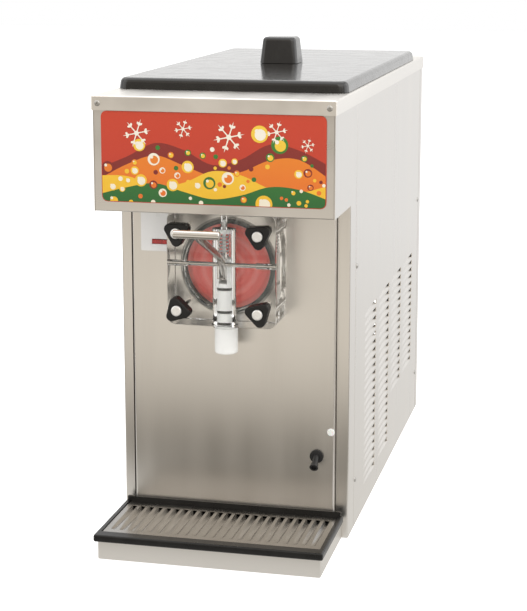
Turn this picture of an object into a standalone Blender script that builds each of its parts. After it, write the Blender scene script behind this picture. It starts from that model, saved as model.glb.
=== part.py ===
"""Countertop frozen-drink dispenser with one freezing barrel.

Lengths are metres. The model is laid out from the plane of the cabinet's front posts (y = 0, depth
running to +y), from the surface it stands on (z = 0) and from its middle plane (x = 0). The root empty
then puts the origin under the middle of the cabinet's footprint.
"""

import math

import bmesh
import bpy
from mathutils import Matrix, Vector

MM = 0.001
GAP = 0.3 * MM  # play between pieces that touch
SHEET = 1.2 * MM  # stainless sheet

# Cabinet
HALF_WIDTH = 159 * MM
DEPTH = 682.5 * MM
HEIGHT = 613.4 * MM
SKIRT = 0.5 * MM  # the side sheets stop this far above the counter
CHEEK_DEPTH = 44 * MM
POST_WIDTH = 17 * MM
REAR_POST = 25.5 * MM
TOP_FLANGE = 19 * MM
HOPPER_OPENING = (131 * MM, 21 * MM, 551 * MM)  # half width, front, rear
AIR_SLOT = (80 * MM, 6 * MM)
AIR_SLOT_MIDDLE = 58 * MM
AIR_SLOT_BOTTOM = 120 * MM
AIR_SLOT_PITCH = 20 * MM
AIR_SLOT_ROWS = 8

# Header over the dispensing head
HEADER_FRONT = -114 * MM
HEADER_BOTTOM = 462.8 * MM
GRAPHIC_HALF_WIDTH = 148 * MM
GRAPHIC_BOTTOM = 476 * MM
GRAPHIC_TOP = 594 * MM

# Front panel
PANEL_FACE = -10 * MM
PANEL_HALF_WIDTH = 141.2 * MM
PANEL_BOTTOM = 26 * MM
DRAIN = (117 * MM, 118 * MM)  # x, z
PLUG = (136.3 * MM, 153 * MM)
SWITCH = (-104 * MM, 452 * MM)
SWITCH_HOLE = 6.4 * MM
LENS_X = (-112.5 * MM, -91 * MM)
LENS_Z = (403 * MM, 409 * MM)
CONTROL_X = (-128.5 * MM, -76 * MM)
CONTROL_Z = (393 * MM, 461 * MM)

# Side louvres: channels pressed inward, open at their rear end
LOUVRE_REAR = (222 * MM, 345 * MM, 468 * MM, 591 * MM)
LOUVRE_ROWS = (22, 22, 16, 16)
LOUVRE_TOP = 290 * MM
LOUVRE_PITCH = 11.8 * MM
CHANNEL_LENGTH = 98 * MM
CHANNEL_WIDTH = 8 * MM
CHANNEL_DEPTH = 5 * MM

# Barrel and dispensing head
BARREL_Z = 381 * MM
BARREL_BORE = 59.5 * MM
BARREL_WALL = 3 * MM
BARREL_REAR = 318 * MM
BARREL_FLANGE = 66.2 * MM
JACKET_RADIUS = 84 * MM
DRIVE_BORE = 14 * MM
HEAD_HALF_WIDTH = 74 * MM
HEAD_BOTTOM = 306.5 * MM
HEAD_TOP = 459 * MM
HEAD_FRONT = -73 * MM
HEAD_BACK = -10.6 * MM
HEAD_CORNER = 13 * MM
HEAD_POCKET = (59.7 * MM, 13 * MM)  # radius, depth
GASKET_SEAT = (64.1 * MM, 4.4 * MM)
STUD_X = 54.5 * MM
STUD_Z = (331 * MM, 434 * MM)
STUD_HOLE = 4.6 * MM
STUD_PLATE = (-8.2 * MM, -4.2 * MM)
STUD_PLATE_HALF = 70 * MM
KNOB_FRONT = -97.2 * MM
KNOB_BACK = -80 * MM
KNOB_LOBES = (10.9 * MM, 6.9 * MM)  # how far out each lobe lies, its radius
CAP_RADIUS = 7 * MM

# Valve: the plunger slides in an upright bore of the clear block
VALVE_Y = -46.5 * MM
VALVE_BORE = 16 * MM
PLUNGER_RADIUS = 15.6 * MM
PLUNGER_TOP = 396 * MM
STEM_TOP = 447.5 * MM
STEM_HOLE = 4.4 * MM
SPOUT_BOTTOM = 266 * MM
BOSS_BOTTOM = 301.5 * MM
BOSS_RADIUS = 18 * MM
BORE_TOP = 436 * MM
PORT_Z = 336 * MM
PORT_RADIUS = 8 * MM
WINDOW_Z = 316.5 * MM
RING_Z = (308.5 * MM, 324.5 * MM, 355.5 * MM)
RING_GROOVE = (12.2 * MM, 1.9 * MM)  # radius at the bottom, half height
SPRING_TOP = 429.7 * MM
SPRING_TURNS = 6.5
SPRING_WIRE = 0.95 * MM

# Handle: its arm rocks on a cross pin, and its inner tip lifts the plunger
PIVOT_Y = -67 * MM
PIVOT_Z = 390 * MM
PIN_RADIUS = 2.7 * MM
SLEEVE_RADIUS = 3.75 * MM
SLEEVE_LENGTH = 27 * MM
ROD_RADIUS = 5 * MM
SLOT_HALF_WIDTH = 5.7 * MM
SLOT_Z = (371 * MM, 406 * MM)
GRIP_Y = -193 * MM
GRIP_Z = 451 * MM
GRIP_RADIUS = 5.4 * MM
GRIP_HALF_LENGTH = 30 * MM

# Drip tray on its base
BASE_HALF_WIDTH = 150.8 * MM
BASE_FRONT = -151 * MM
BASE_TOP = 25.7 * MM
TRAY_HALF_WIDTH = 154.7 * MM
TRAY_FRONT = -158 * MM
TRAY_REAR = -10.6 * MM
TRAY_TOP = 36 * MM
TRAY_LIP = 42 * MM
BOWL_HALF_WIDTH = 146 * MM
BOWL_Y = (-146 * MM, -16 * MM)
BOWL_WALL = 3 * MM
GRILLE_HALF_WIDTH = 147.5 * MM
GRILLE_Y = (-141 * MM, -16 * MM)
GRILLE_TOP = 34.8 * MM
GRILLE_CHANNELS = 23
GRILLE_PITCH = 12.39 * MM

# Hopper and lid
HOPPER_FLOOR = 481.5 * MM
HOPPER_PLAY = 2 * MM
HOPPER_RIM = 9 * MM
FEED_Y = 90 * MM
FEED_HOLE = 10.6 * MM
LID_HALF_WIDTH = 156.5 * MM
LID_Y = (-20 * MM, 600 * MM)
LID_TOP = 628.5 * MM
LID_HANDLE_Y = 291 * MM
MOULDED_WALL = 3 * MM

# Machinery
DECK_TOP = 296.6 * MM
DECK_SHEET = 1.5 * MM
CONDENSER_Y = (62 * MM, 86 * MM)
CONDENSER_Z = (22 * MM, 272 * MM)
FAN_Z = 147 * MM
FAN_Y = 106 * MM
FOOT_LEVEL = 1.8 * MM  # top of the bottom pan's sheet, with its play
COMPRESSOR = (-42 * MM, 545 * MM)  # x, y
GLAND = (-104 * MM, 52 * MM)  # x, z

STEEL = (0.62, 0.60, 0.56)
BLACK = (0.02, 0.02, 0.02)
WHITE = (0.88, 0.88, 0.86)
CLEAR = (0.85, 0.88, 0.88)
RUBBER = (0.06, 0.07, 0.065)


# Scene helpers


def clear_scene():
    for obj in list(bpy.data.objects):
        bpy.data.objects.remove(obj, do_unlink=True)


def new_collection(name):
    collection = bpy.data.collections.new(name)
    bpy.context.scene.collection.children.link(collection)
    return collection


def material(name, color, roughness=0.35, metallic=0.0, alpha=1.0):
    found = bpy.data.materials.get(name)
    if found:
        return found
    made = bpy.data.materials.new(name)
    made.use_nodes = True
    shader = made.node_tree.nodes["Principled BSDF"]
    shader.inputs["Base Color"].default_value = (*color, 1)
    shader.inputs["Roughness"].default_value = roughness
    shader.inputs["Metallic"].default_value = metallic
    shader.inputs["Alpha"].default_value = alpha
    made.diffuse_color = (*color, alpha)
    return made


def steel():
    return material("brushed_stainless", STEEL, roughness=0.3, metallic=1.0)


def black_plastic():
    return material("black_plastic", BLACK, roughness=0.4)


def white_plastic():
    return material("white_plastic", WHITE, roughness=0.35)


def clear_plastic():
    return material("clear_plastic", CLEAR, roughness=0.03, alpha=0.3)


def rubber():
    return material("black_rubber", RUBBER, roughness=0.7)


def place(obj, finish, at=(0, 0, 0)):
    """Links obj as a part at the point `at` of the layout."""
    parts.objects.link(obj)
    obj.data.materials.append(finish)
    obj.location = at
    obj.parent = root
    return obj


def place_cutter(obj, at=(0, 0, 0)):
    cutters.objects.link(obj)
    obj.location = at
    obj.parent = root
    obj.hide_render = True
    obj.display_type = "WIRE"
    return obj


def mesh_object(name, bm, at=(0, 0, 0)):
    """An object from a bmesh drawn in layout coordinates; its own origin goes to `at`."""
    bmesh.ops.translate(bm, verts=bm.verts, vec=-Vector(at))
    mesh = bpy.data.meshes.new(name)
    bm.to_mesh(mesh)
    bm.free()
    return bpy.data.objects.new(name, mesh)


def smooth(obj, degrees=35):
    obj.data.shade_smooth()
    obj.data.set_sharp_from_angle(angle=math.radians(degrees))
    return obj


# Shapes, in layout coordinates


def box_bm(low, high, bm=None):
    bm = bm or bmesh.new()
    low, high = Vector(low), Vector(high)
    frame = Matrix.Translation((low + high) / 2) @ Matrix.Diagonal((*(high - low), 1))
    bmesh.ops.create_cube(bm, size=1, matrix=frame)
    return bm


def rod_bm(start, end, radius, segments=16, end_radius=None, bm=None):
    """A round bar, or a cone, from start to end."""
    bm = bm or bmesh.new()
    start, end = Vector(start), Vector(end)
    turn = (end - start).to_track_quat("Z", "Y").to_matrix().to_4x4()
    frame = Matrix.Translation((start + end) / 2) @ turn
    bmesh.ops.create_cone(
        bm,
        cap_ends=True,
        segments=segments,
        radius1=radius,
        radius2=radius if end_radius is None else end_radius,
        depth=(end - start).length,
        matrix=frame,
    )
    return bm


def outline_object(name, points, low, high, across="X", at=(0, 0, 0)):
    """A flat closed outline given thickness from low to high along the axis `across`.

    The outline's pairs are (y, z) across X, (x, z) across Y and (x, y) across Z.
    """
    curve = bpy.data.curves.new(name, "CURVE")
    curve.dimensions = "2D"
    curve.fill_mode = "BOTH"
    curve.extrude = (high - low) / 2
    spline = curve.splines.new("POLY")
    spline.points.add(len(points) - 1)
    for point, (u, v) in zip(spline.points, points):
        point.co = (u, v, 0, 1)
    spline.use_cyclic_u = True
    drawn = bpy.data.objects.new(name + "_outline", curve)
    bpy.context.scene.collection.objects.link(drawn)
    bpy.context.view_layer.update()
    mesh = bpy.data.meshes.new_from_object(drawn.evaluated_get(bpy.context.evaluated_depsgraph_get()))
    bpy.data.objects.remove(drawn)
    bm = bmesh.new()
    bm.from_mesh(mesh)
    bpy.data.meshes.remove(mesh)
    bmesh.ops.remove_doubles(bm, verts=bm.verts, dist=1e-6)
    middle = (low + high) / 2
    turns = {
        "X": Matrix(((0, 0, 1, middle), (1, 0, 0, 0), (0, 1, 0, 0), (0, 0, 0, 1))),
        "Y": Matrix(((1, 0, 0, 0), (0, 0, -1, middle), (0, 1, 0, 0), (0, 0, 0, 1))),
        "Z": Matrix.Translation((0, 0, middle)),
    }
    bmesh.ops.transform(bm, matrix=turns[across], verts=bm.verts)
    bmesh.ops.recalc_face_normals(bm, faces=bm.faces)
    return mesh_object(name, bm, at)


def turned_object(name, profile, along="Z", segments=24):
    """A turned piece about its own origin, from (radius, height) pairs round half of its section."""
    mesh = bpy.data.meshes.new(name)
    ring = list(zip(profile, profile[1:] + profile[:1]))
    if sum(a[0] * b[1] - b[0] * a[1] for a, b in ring) > 0:
        profile = profile[::-1]  # the outer side has to run down, for faces that point out
    points = [(radius, 0, height) for radius, height in profile]
    closed = profile[0][0] > 0 and profile[-1][0] > 0
    edges = [(i, i + 1) for i in range(len(points) - 1)] + ([(len(points) - 1, 0)] if closed else [])
    mesh.from_pydata(points, edges, [])
    obj = bpy.data.objects.new(name, mesh)
    obj.rotation_euler = {"Z": (0, 0, 0), "Y": (-math.pi / 2, 0, 0), "X": (0, math.pi / 2, 0)}[along]
    screw = obj.modifiers.new("Turn", "SCREW")
    screw.steps = screw.render_steps = segments
    screw.use_merge_vertices = True
    screw.merge_threshold = 0.00001
    screw.use_smooth_shade = True
    return obj


def tube_object(name, points, radius, resolution=2):
    curve = bpy.data.curves.new(name, "CURVE")
    curve.dimensions = "3D"
    curve.bevel_depth = radius
    curve.bevel_resolution = resolution
    curve.use_fill_caps = True
    spline = curve.splines.new("POLY")
    spline.points.add(len(points) - 1)
    for point, position in zip(spline.points, points):
        point.co = (*position, 1)
    return bpy.data.objects.new(name, curve)


def meshed(obj, at=(0, 0, 0)):
    """A curve object turned into a mesh object with its caps welded."""
    bpy.context.scene.collection.objects.link(obj)
    bpy.context.view_layer.update()
    mesh = bpy.data.meshes.new_from_object(obj.evaluated_get(bpy.context.evaluated_depsgraph_get()))
    name = obj.name
    bpy.data.objects.remove(obj)
    bm = bmesh.new()
    bm.from_mesh(mesh)
    bpy.data.meshes.remove(mesh)
    bmesh.ops.remove_doubles(bm, verts=bm.verts, dist=1e-6)
    return mesh_object(name, bm, at)


def combine(obj, tool, operation):
    modifier = obj.modifiers.new(tool.name, "BOOLEAN")
    modifier.operation = operation
    modifier.solver = "EXACT"
    modifier.object = tool
    return obj


def cut(obj, *tools):
    for tool in tools:
        combine(obj, tool, "DIFFERENCE")
    return obj


def join(obj, *tools):
    for tool in tools:
        combine(obj, tool, "UNION")
    return obj


def box_tool(name, low, high):
    return place_cutter(mesh_object(name, box_bm(low, high)))


def rod_tool(name, start, end, radius, segments=16, end_radius=None):
    return place_cutter(mesh_object(name, rod_bm(start, end, radius, segments, end_radius)))


def bevel(obj, width, segments=1, degrees=30):
    modifier = obj.modifiers.new("Rounded edges", "BEVEL")
    modifier.width = width
    modifier.segments = segments
    modifier.limit_method = "ANGLE"
    modifier.angle_limit = math.radians(degrees)
    return obj


def thicken(obj, thickness):
    """Gives an open surface a wall on its inner side."""
    modifier = obj.modifiers.new("Wall", "SOLIDIFY")
    modifier.thickness = thickness
    modifier.offset = -1
    modifier.use_even_offset = True
    return obj


def rounded_rectangle(low_u, low_v, high_u, high_v, radius, steps=4):
    """Corner arcs of a rectangle, anticlockwise from its lower right corner."""
    corners = (
        (high_u - radius, low_v + radius, -90),
        (high_u - radius, high_v - radius, 0),
        (low_u + radius, high_v - radius, 90),
        (low_u + radius, low_v + radius, 180),
    )
    points = []
    for u, v, start in corners:
        for i in range(steps + 1):
            angle = math.radians(start + 90 * i / steps)
            points.append((u + radius * math.cos(angle), v + radius * math.sin(angle)))
    return points


def smooth_path(points, steps):
    """Points on a Catmull-Rom curve through the given points."""
    ends = [points[0]] + list(points) + [points[-1]]
    path = []
    for i in range(len(points) - 1):
        a, b, c, d = (Vector(p) for p in ends[i : i + 4])
        for k in range(steps):
            t = k / steps
            bend = (2 * a - 5 * b + 4 * c - d) * t**2 + (3 * b - a - 3 * c + d) * t**3
            path.append(0.5 * (2 * b + (c - a) * t + bend))
    path.append(Vector(points[-1]))
    return path


# Pressed channels, shared by the louvred panels and the drip grille


def channel_sheet(name, outline, channels, to_layout, thickness):
    """A sheet with channels pressed into it, each deepening from its front end to an open rear end.

    outline is (low u, low v, high u, high v) on the sheet, u running along the channels. Each channel
    is (u of its rear end, v of its middle). to_layout turns (u, v, depth below the sheet) into a point.
    """
    bm = bmesh.new()
    low_u, low_v, high_u, high_v = outline
    us = sorted({low_u, high_u} | {u for rear, _ in channels for u in (rear - CHANNEL_LENGTH, rear)})
    half = CHANNEL_WIDTH / 2
    vs = sorted({low_v, high_v} | {round(v + s * half, 9) for _, v in channels for s in (-1, 1)})
    corner = {(u, v): bm.verts.new(to_layout(u, v, 0)) for u in us for v in vs}
    pressed = {
        (us.index(rear - CHANNEL_LENGTH), vs.index(round(middle - half, 9))) for rear, middle in channels
    }
    for i in range(len(us) - 1):
        for j in range(len(vs) - 1):
            front_low, rear_low = corner[us[i], vs[j]], corner[us[i + 1], vs[j]]
            front_high, rear_high = corner[us[i], vs[j + 1]], corner[us[i + 1], vs[j + 1]]
            if (i, j) not in pressed:
                bm.faces.new((front_low, rear_low, rear_high, front_high))
                continue
            middle = (vs[j] + vs[j + 1]) / 2
            root_of_v = bm.verts.new(to_layout(us[i + 1], middle, CHANNEL_DEPTH))
            bm.faces.new((front_low, rear_low, root_of_v))
            bm.faces.new((front_low, root_of_v, front_high))
            bm.faces.new((front_high, root_of_v, rear_high))
    obj = mesh_object(name, bm)
    return thicken(obj, thickness)


# Cabinet


def make_bottom_pan():
    low = (-HALF_WIDTH + SHEET + 2 * GAP, 1.5 * MM, 0)
    high = (HALF_WIDTH - SHEET - 2 * GAP, DEPTH - SHEET - GAP, 18 * MM)
    bm = box_bm(low, high)
    bmesh.ops.delete(bm, geom=[f for f in bm.faces if f.normal.z > 0.5], context="FACES")
    place(thicken(mesh_object("bottom_pan", bm), 1.5 * MM), steel())


def make_cheek(name, side):
    """The side sheet of the header, which runs down as the cabinet's front post and wraps its corner."""
    outline = [
        (HEADER_FRONT, HEADER_BOTTOM),
        (0, HEADER_BOTTOM),
        (0, SKIRT),
        (CHEEK_DEPTH, SKIRT),
        (CHEEK_DEPTH, HEIGHT - 1.5 * MM),
        (HEADER_FRONT, HEIGHT - 1.5 * MM),
    ]
    faces = sorted((side * HALF_WIDTH, side * (HALF_WIDTH - SHEET)))
    cheek = place(outline_object(name, outline, *faces), steel())
    xs = sorted((side * (HALF_WIDTH - 0.2 * MM), side * (HALF_WIDTH - POST_WIDTH)))
    join(cheek, box_tool(name + "_post", (xs[0], 0, SKIRT), (xs[1], SHEET, HEADER_BOTTOM)))


def make_front_panel():
    """A shallow pan standing proud of the posts, with its side returns and its holes."""
    outer, inner, back = PANEL_HALF_WIDTH, PANEL_HALF_WIDTH - SHEET, 14 * MM
    outline = [
        (-outer, PANEL_FACE),
        (outer, PANEL_FACE),
        (outer, back),
        (inner, back),
        (inner, PANEL_FACE + SHEET),
        (-inner, PANEL_FACE + SHEET),
        (-inner, back),
        (-outer, back),
    ]
    panel = outline_object("front_panel", outline, PANEL_BOTTOM, HEADER_BOTTOM - GAP, across="Z")
    place(panel, steel())
    near, far = PANEL_FACE - 5 * MM, PANEL_FACE + 5 * MM
    holes = [(0, BARREL_Z, BARREL_FLANGE + 2 * GAP, 32)]
    holes += [(x, z, 4.5 * MM, 12) for x in (-STUD_X, STUD_X) for z in STUD_Z]
    holes += [(*DRAIN, 4.6 * MM, 12), (*PLUG, 4 * MM, 12), (*SWITCH, SWITCH_HOLE, 12)]
    tool = bmesh.new()
    for x, z, radius, segments in holes:
        rod_bm((x, near, z), (x, far, z), radius, segments, bm=tool)
    play = 2 * GAP
    box_bm((LENS_X[0] - play, near, LENS_Z[0] - play), (LENS_X[1] + play, far, LENS_Z[1] + play), tool)
    cut(panel, place_cutter(mesh_object("panel_openings", tool)))


def make_side_panel(name, side):
    outer = side * HALF_WIDTH
    channels = [
        (rear, LOUVRE_TOP - CHANNEL_WIDTH / 2 - row * LOUVRE_PITCH)
        for rear, rows in zip(LOUVRE_REAR, LOUVRE_ROWS)
        for row in range(rows)
    ]
    outline = (CHEEK_DEPTH + GAP, SKIRT, DEPTH - REAR_POST - GAP, HEIGHT - 1.5 * MM)
    panel = channel_sheet(name, outline, channels, lambda u, v, d: (outer - side * d, u, v), SHEET)
    if side < 0:
        panel.data.flip_normals()
    place(panel, steel())


def make_rear_panel():
    """A wrapped sheet whose side flanges are the rear posts, with air slots below and the mains gland."""
    outer, inner = HALF_WIDTH, HALF_WIDTH - SHEET
    front, back = DEPTH - REAR_POST, DEPTH
    outline = [
        (-outer, back),
        (-outer, front),
        (-inner, front),
        (-inner, back - SHEET),
        (inner, back - SHEET),
        (inner, front),
        (outer, front),
        (outer, back),
    ]
    panel = place(outline_object("rear_panel", outline, SKIRT, HEIGHT - 1.5 * MM, across="Z"), steel())
    slots = bmesh.new()
    length, height = AIR_SLOT
    for middle in (-AIR_SLOT_MIDDLE, AIR_SLOT_MIDDLE):
        for row in range(AIR_SLOT_ROWS):
            z = AIR_SLOT_BOTTOM + row * AIR_SLOT_PITCH
            low = (middle - length / 2, DEPTH - 5 * MM, z)
            box_bm(low, (middle + length / 2, DEPTH + 5 * MM, z + height), slots)
    cut(panel, place_cutter(mesh_object("air_slots", slots)))
    x, z = GLAND
    cut(panel, rod_tool("gland_opening", (x, DEPTH - 5 * MM, z), (x, DEPTH + 5 * MM, z), 9.2 * MM, 16))


def make_top_panel():
    """The top sheet, turned down over the header and the sides, with the hopper's opening."""
    outer = HALF_WIDTH + SHEET + 2 * GAP
    front, back = HEADER_FRONT - SHEET - 5 * GAP, DEPTH + SHEET + GAP
    bm = box_bm((-outer, front, HEIGHT - TOP_FLANGE), (outer, back, HEIGHT))
    bmesh.ops.delete(bm, geom=[f for f in bm.faces if f.normal.z < -0.5], context="FACES")
    panel = place(thicken(mesh_object("top_panel", bm), SHEET), steel())
    half, near, far = HOPPER_OPENING
    corners = rounded_rectangle(-half, near, half, far, 16 * MM)
    cut(panel, place_cutter(outline_object("hopper_opening", corners, HEIGHT - 8 * MM, HEIGHT + 8 * MM, "Z")))


def make_header_front():
    """The header's face and underside, one bent sheet, with a stiffening lip at the back of the underside."""
    front, bottom = HEADER_FRONT, HEADER_BOTTOM
    back, top = PANEL_FACE - 2 * GAP, HEIGHT - 1.5 * MM
    outline = [
        (front, bottom),
        (back, bottom),
        (back, bottom + 14 * MM),
        (back - SHEET, bottom + 14 * MM),
        (back - SHEET, bottom + SHEET),
        (front + SHEET, bottom + SHEET),
        (front + SHEET, top),
        (front, top),
    ]
    half = HALF_WIDTH - SHEET - GAP
    place(outline_object("header_front", outline, -half, half), steel())


def make_graphic_panel():
    corners = rounded_rectangle(-GRAPHIC_HALF_WIDTH, GRAPHIC_BOTTOM, GRAPHIC_HALF_WIDTH, GRAPHIC_TOP, 9 * MM)
    back = HEADER_FRONT - GAP
    panel = outline_object("graphic_panel", corners, back - 1 * MM, back, across="Y")
    place(panel, material("graphic_print", (0.78, 0.15, 0.07), roughness=0.25))


def make_machine_deck():
    """The shelf that carries the barrel and the gear motor, hung between the side sheets."""
    half = HALF_WIDTH - SHEET - 2 * GAP
    bm = box_bm((-half, 20 * MM, DECK_TOP - DECK_SHEET), (half, DEPTH - REAR_POST, DECK_TOP + 20 * MM))
    open_faces = [f for f in bm.faces if f.normal.z > 0.5 or abs(f.normal.y) > 0.5]
    bmesh.ops.delete(bm, geom=open_faces, context="FACES")
    place(thicken(mesh_object("machine_deck", bm), DECK_SHEET), steel())


# Controls on the front panel


def make_controls():
    x, z = SWITCH
    back = PANEL_FACE - GAP
    low, high = (CONTROL_X[0], back - 1 * MM, CONTROL_Z[0]), (CONTROL_X[1], back, CONTROL_Z[1])
    plate = place(mesh_object("control_plate", box_bm(low, high)), white_plastic())
    near, far = back - 5 * MM, back + 5 * MM
    cut(plate, rod_tool("switch_opening", (x, near, z), (x, far, z), SWITCH_HOLE, 12))
    play = 2 * GAP
    low = (LENS_X[0] - play, near, LENS_Z[0] - play)
    cut(plate, box_tool("lens_opening", low, (LENS_X[1] + play, far, LENS_Z[1] + play)))

    lens_bm = box_bm((LENS_X[0], back - 2 * MM, LENS_Z[0]), (LENS_X[1], back + 10 * MM, LENS_Z[1]))
    red = material("red_lens", (0.5, 0.02, 0.02), roughness=0.15)
    bevel(place(mesh_object("indicator_lens", lens_bm), red), 0.5 * MM)


def make_switch():
    """A three-position toggle: threaded bush through the panel, and a bat lever rocking on a ball."""
    x, z = SWITCH
    pivot = (x, PANEL_FACE - 1.5 * MM, z)
    bush = [(5.8, -7), (5.8, 2.2), (8, 2.2), (8, 18), (2, 18), (2, 6), (3.4, 1), (3.4, -4), (4.6, -7)]
    body = turned_object("switch_body", [(r * MM, h * MM) for r, h in bush], "Y", 12)
    place(body, steel(), (x, PANEL_FACE, z))
    lever = [(0, 3.0), (2.2, 2.0), (3.0, 0), (2.2, -2.0), (1.8, -5), (3.1, -17), (2.6, -19), (0, -20)]
    bat = turned_object("switch_lever", [(r * MM, h * MM) for r, h in lever], "Y", 12)
    place(bat, material("polished_metal", (0.8, 0.8, 0.8), roughness=0.12, metallic=1.0), pivot)


def make_drain():
    """A black drain spout: flange, straight neck that leans down and forward, flared end with its mouth."""
    x, z = DRAIN
    back = PANEL_FACE - GAP
    flange = mesh_object("drain_elbow", rod_bm((x, back, z), (x, back - 3.2 * MM, z), 9.4 * MM, 20))
    place(flange, black_plastic())
    bevel(flange, 0.8 * MM)
    tip = Vector((x, -31 * MM, z - 10.2 * MM))
    run = Vector((0, -0.89, -0.456))
    flare = tip - run * 7 * MM
    route = [(x, 8 * MM, z), (x, back - 2 * MM, z), tuple(flare - run * 3 * MM), tuple(flare + run * 1 * MM)]
    neck = meshed(tube_object("drain_neck", smooth_path(route, 3), 4 * MM))
    join(flange, place_cutter(neck), rod_tool("drain_tip", flare, tip, 5.2 * MM, 16, 6 * MM))
    cut(flange, rod_tool("drain_bore", tip + run * 2 * MM, tip - run * 3 * MM, 3.8 * MM, 12))


def make_hole_plug():
    x, z = PLUG
    head = [(0, 6), (3.4, 6), (3.4, -0.3), (5.4, -0.3), (5.2, -1.3), (3.8, -2.0), (0, -2.2)]
    plug = turned_object("hole_plug", [(r * MM, h * MM) for r, h in head], "Y", 16)
    place(plug, white_plastic(), (x, PANEL_FACE, z))


# Drip tray


def make_base_pan():
    bm = box_bm((-BASE_HALF_WIDTH, BASE_FRONT, 0), (BASE_HALF_WIDTH, -GAP, BASE_TOP))
    bmesh.ops.delete(bm, geom=[f for f in bm.faces if f.normal.z > 0.5], context="FACES")
    place(thicken(mesh_object("base_pan", bm), SHEET), steel())


def make_drip_tray():
    """A moulded tray: rim over the base, bowl inside it, ledge for the grille and a raised rear lip."""
    rim = mesh_object(
        "drip_tray",
        box_bm((-TRAY_HALF_WIDTH, TRAY_FRONT, BASE_TOP + GAP), (TRAY_HALF_WIDTH, TRAY_REAR, TRAY_TOP)),
    )
    tray = bevel(place(rim, black_plastic()), 2.5 * MM, 2)
    half = TRAY_HALF_WIDTH - 3 * MM
    lip = box_tool("tray_lip", (-half, TRAY_REAR - 5 * MM, 29 * MM), (half, TRAY_REAR, TRAY_LIP))
    half, (front, back), wall = BOWL_HALF_WIDTH, BOWL_Y, BOWL_WALL
    bowl = box_tool("tray_bowl", (-half, front, 4.5 * MM), (half, back, 31 * MM))
    join(tray, lip, bowl)
    ledge = box_tool(
        "tray_ledge",
        (-GRILLE_HALF_WIDTH - 3 * GAP, GRILLE_Y[0] - 3 * GAP, GRILLE_TOP - 3.4 * MM),
        (GRILLE_HALF_WIDTH + 3 * GAP, GRILLE_Y[1] + 0.4 * MM, 60 * MM),
    )
    low = (-half + wall, front + 3 * wall, 7 * MM)
    hollow = box_tool("tray_hollow", low, (half - wall, back - 4 * MM, 50 * MM))
    cut(tray, ledge, hollow)


def make_drip_grille():
    """The cup stand: a sheet with pressed channels that run to a drain hole each, and a turned-down edge."""
    first = -(GRILLE_CHANNELS - 1) / 2 * GRILLE_PITCH
    rear = GRILLE_Y[1] - 15 * MM
    channels = [(rear, first + i * GRILLE_PITCH) for i in range(GRILLE_CHANNELS)]
    outline = (GRILLE_Y[0], -GRILLE_HALF_WIDTH, GRILLE_Y[1], GRILLE_HALF_WIDTH)
    grille = channel_sheet("drip_grille", outline, channels, lambda u, v, d: (-v, u, GRILLE_TOP - d), 1 * MM)
    place(grille, steel())
    half, (front, back) = GRILLE_HALF_WIDTH, GRILLE_Y
    edge = bmesh.new()
    box_bm((-half, front, GRILLE_TOP - 3 * MM), (half, back, GRILLE_TOP - 0.4 * MM), edge)
    skirt = place_cutter(mesh_object("grille_edge", edge))
    cut(
        skirt,
        box_tool(
            "grille_edge_inside",
            (-half + 1.5 * MM, front + 1.5 * MM, 0),
            (half - 1.5 * MM, back - 1.5 * MM, 60 * MM),
        ),
    )
    join(grille, skirt)


# Hopper and lid


def make_hopper():
    """A drawn tub with a sloped floor and an out-turned rim that hangs on the top panel."""
    half, near, far = HOPPER_OPENING
    half, near, far = half - HOPPER_PLAY, near + HOPPER_PLAY, far - HOPPER_PLAY
    bm = box_bm((-half, near, HOPPER_FLOOR), (half, far, HEIGHT + 2 * GAP + SHEET))
    for vert in bm.verts:
        if vert.co.z < 0.5:
            vert.co.x *= 0.93
            vert.co.z += 14 * MM if vert.co.y > 0.3 else 0
            vert.co.y += -16 * MM if vert.co.y > 0.3 else 10 * MM
    walls = [e for e in bm.edges if abs(e.verts[0].co.z - e.verts[1].co.z) > 60 * MM]
    floor = [e for e in bm.edges if all(v.co.z < 0.52 for v in e.verts)]
    bmesh.ops.bevel(bm, geom=walls + floor, offset=20 * MM, segments=2, profile=0.5, affect="EDGES")
    bmesh.ops.delete(bm, geom=[f for f in bm.faces if f.normal.z > 0.9], context="FACES")
    rim = [e for e in bm.edges if e.is_boundary]
    turned_out = bmesh.ops.extrude_edge_only(bm, edges=rim)["geom"]
    centre = Vector((0, (near + far) / 2, 0))
    straight = Vector((half, (far - near) / 2, 0)) - Vector((1, 1, 0)) * 25 * MM
    for vert in (g for g in turned_out if isinstance(g, bmesh.types.BMVert)):
        reach = vert.co - centre
        for axis in (0, 1):
            if abs(reach[axis]) > straight[axis]:
                vert.co[axis] += math.copysign(HOPPER_RIM, reach[axis])
    bmesh.ops.recalc_face_normals(bm, faces=bm.faces)
    tub = place(thicken(mesh_object("hopper", bm), SHEET), steel())
    start, end = (0, FEED_Y, HOPPER_FLOOR - 20 * MM), (0, FEED_Y, HOPPER_FLOOR + 20 * MM)
    cut(tub, rod_tool("hopper_outlet", start, end, FEED_HOLE, 16))


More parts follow.
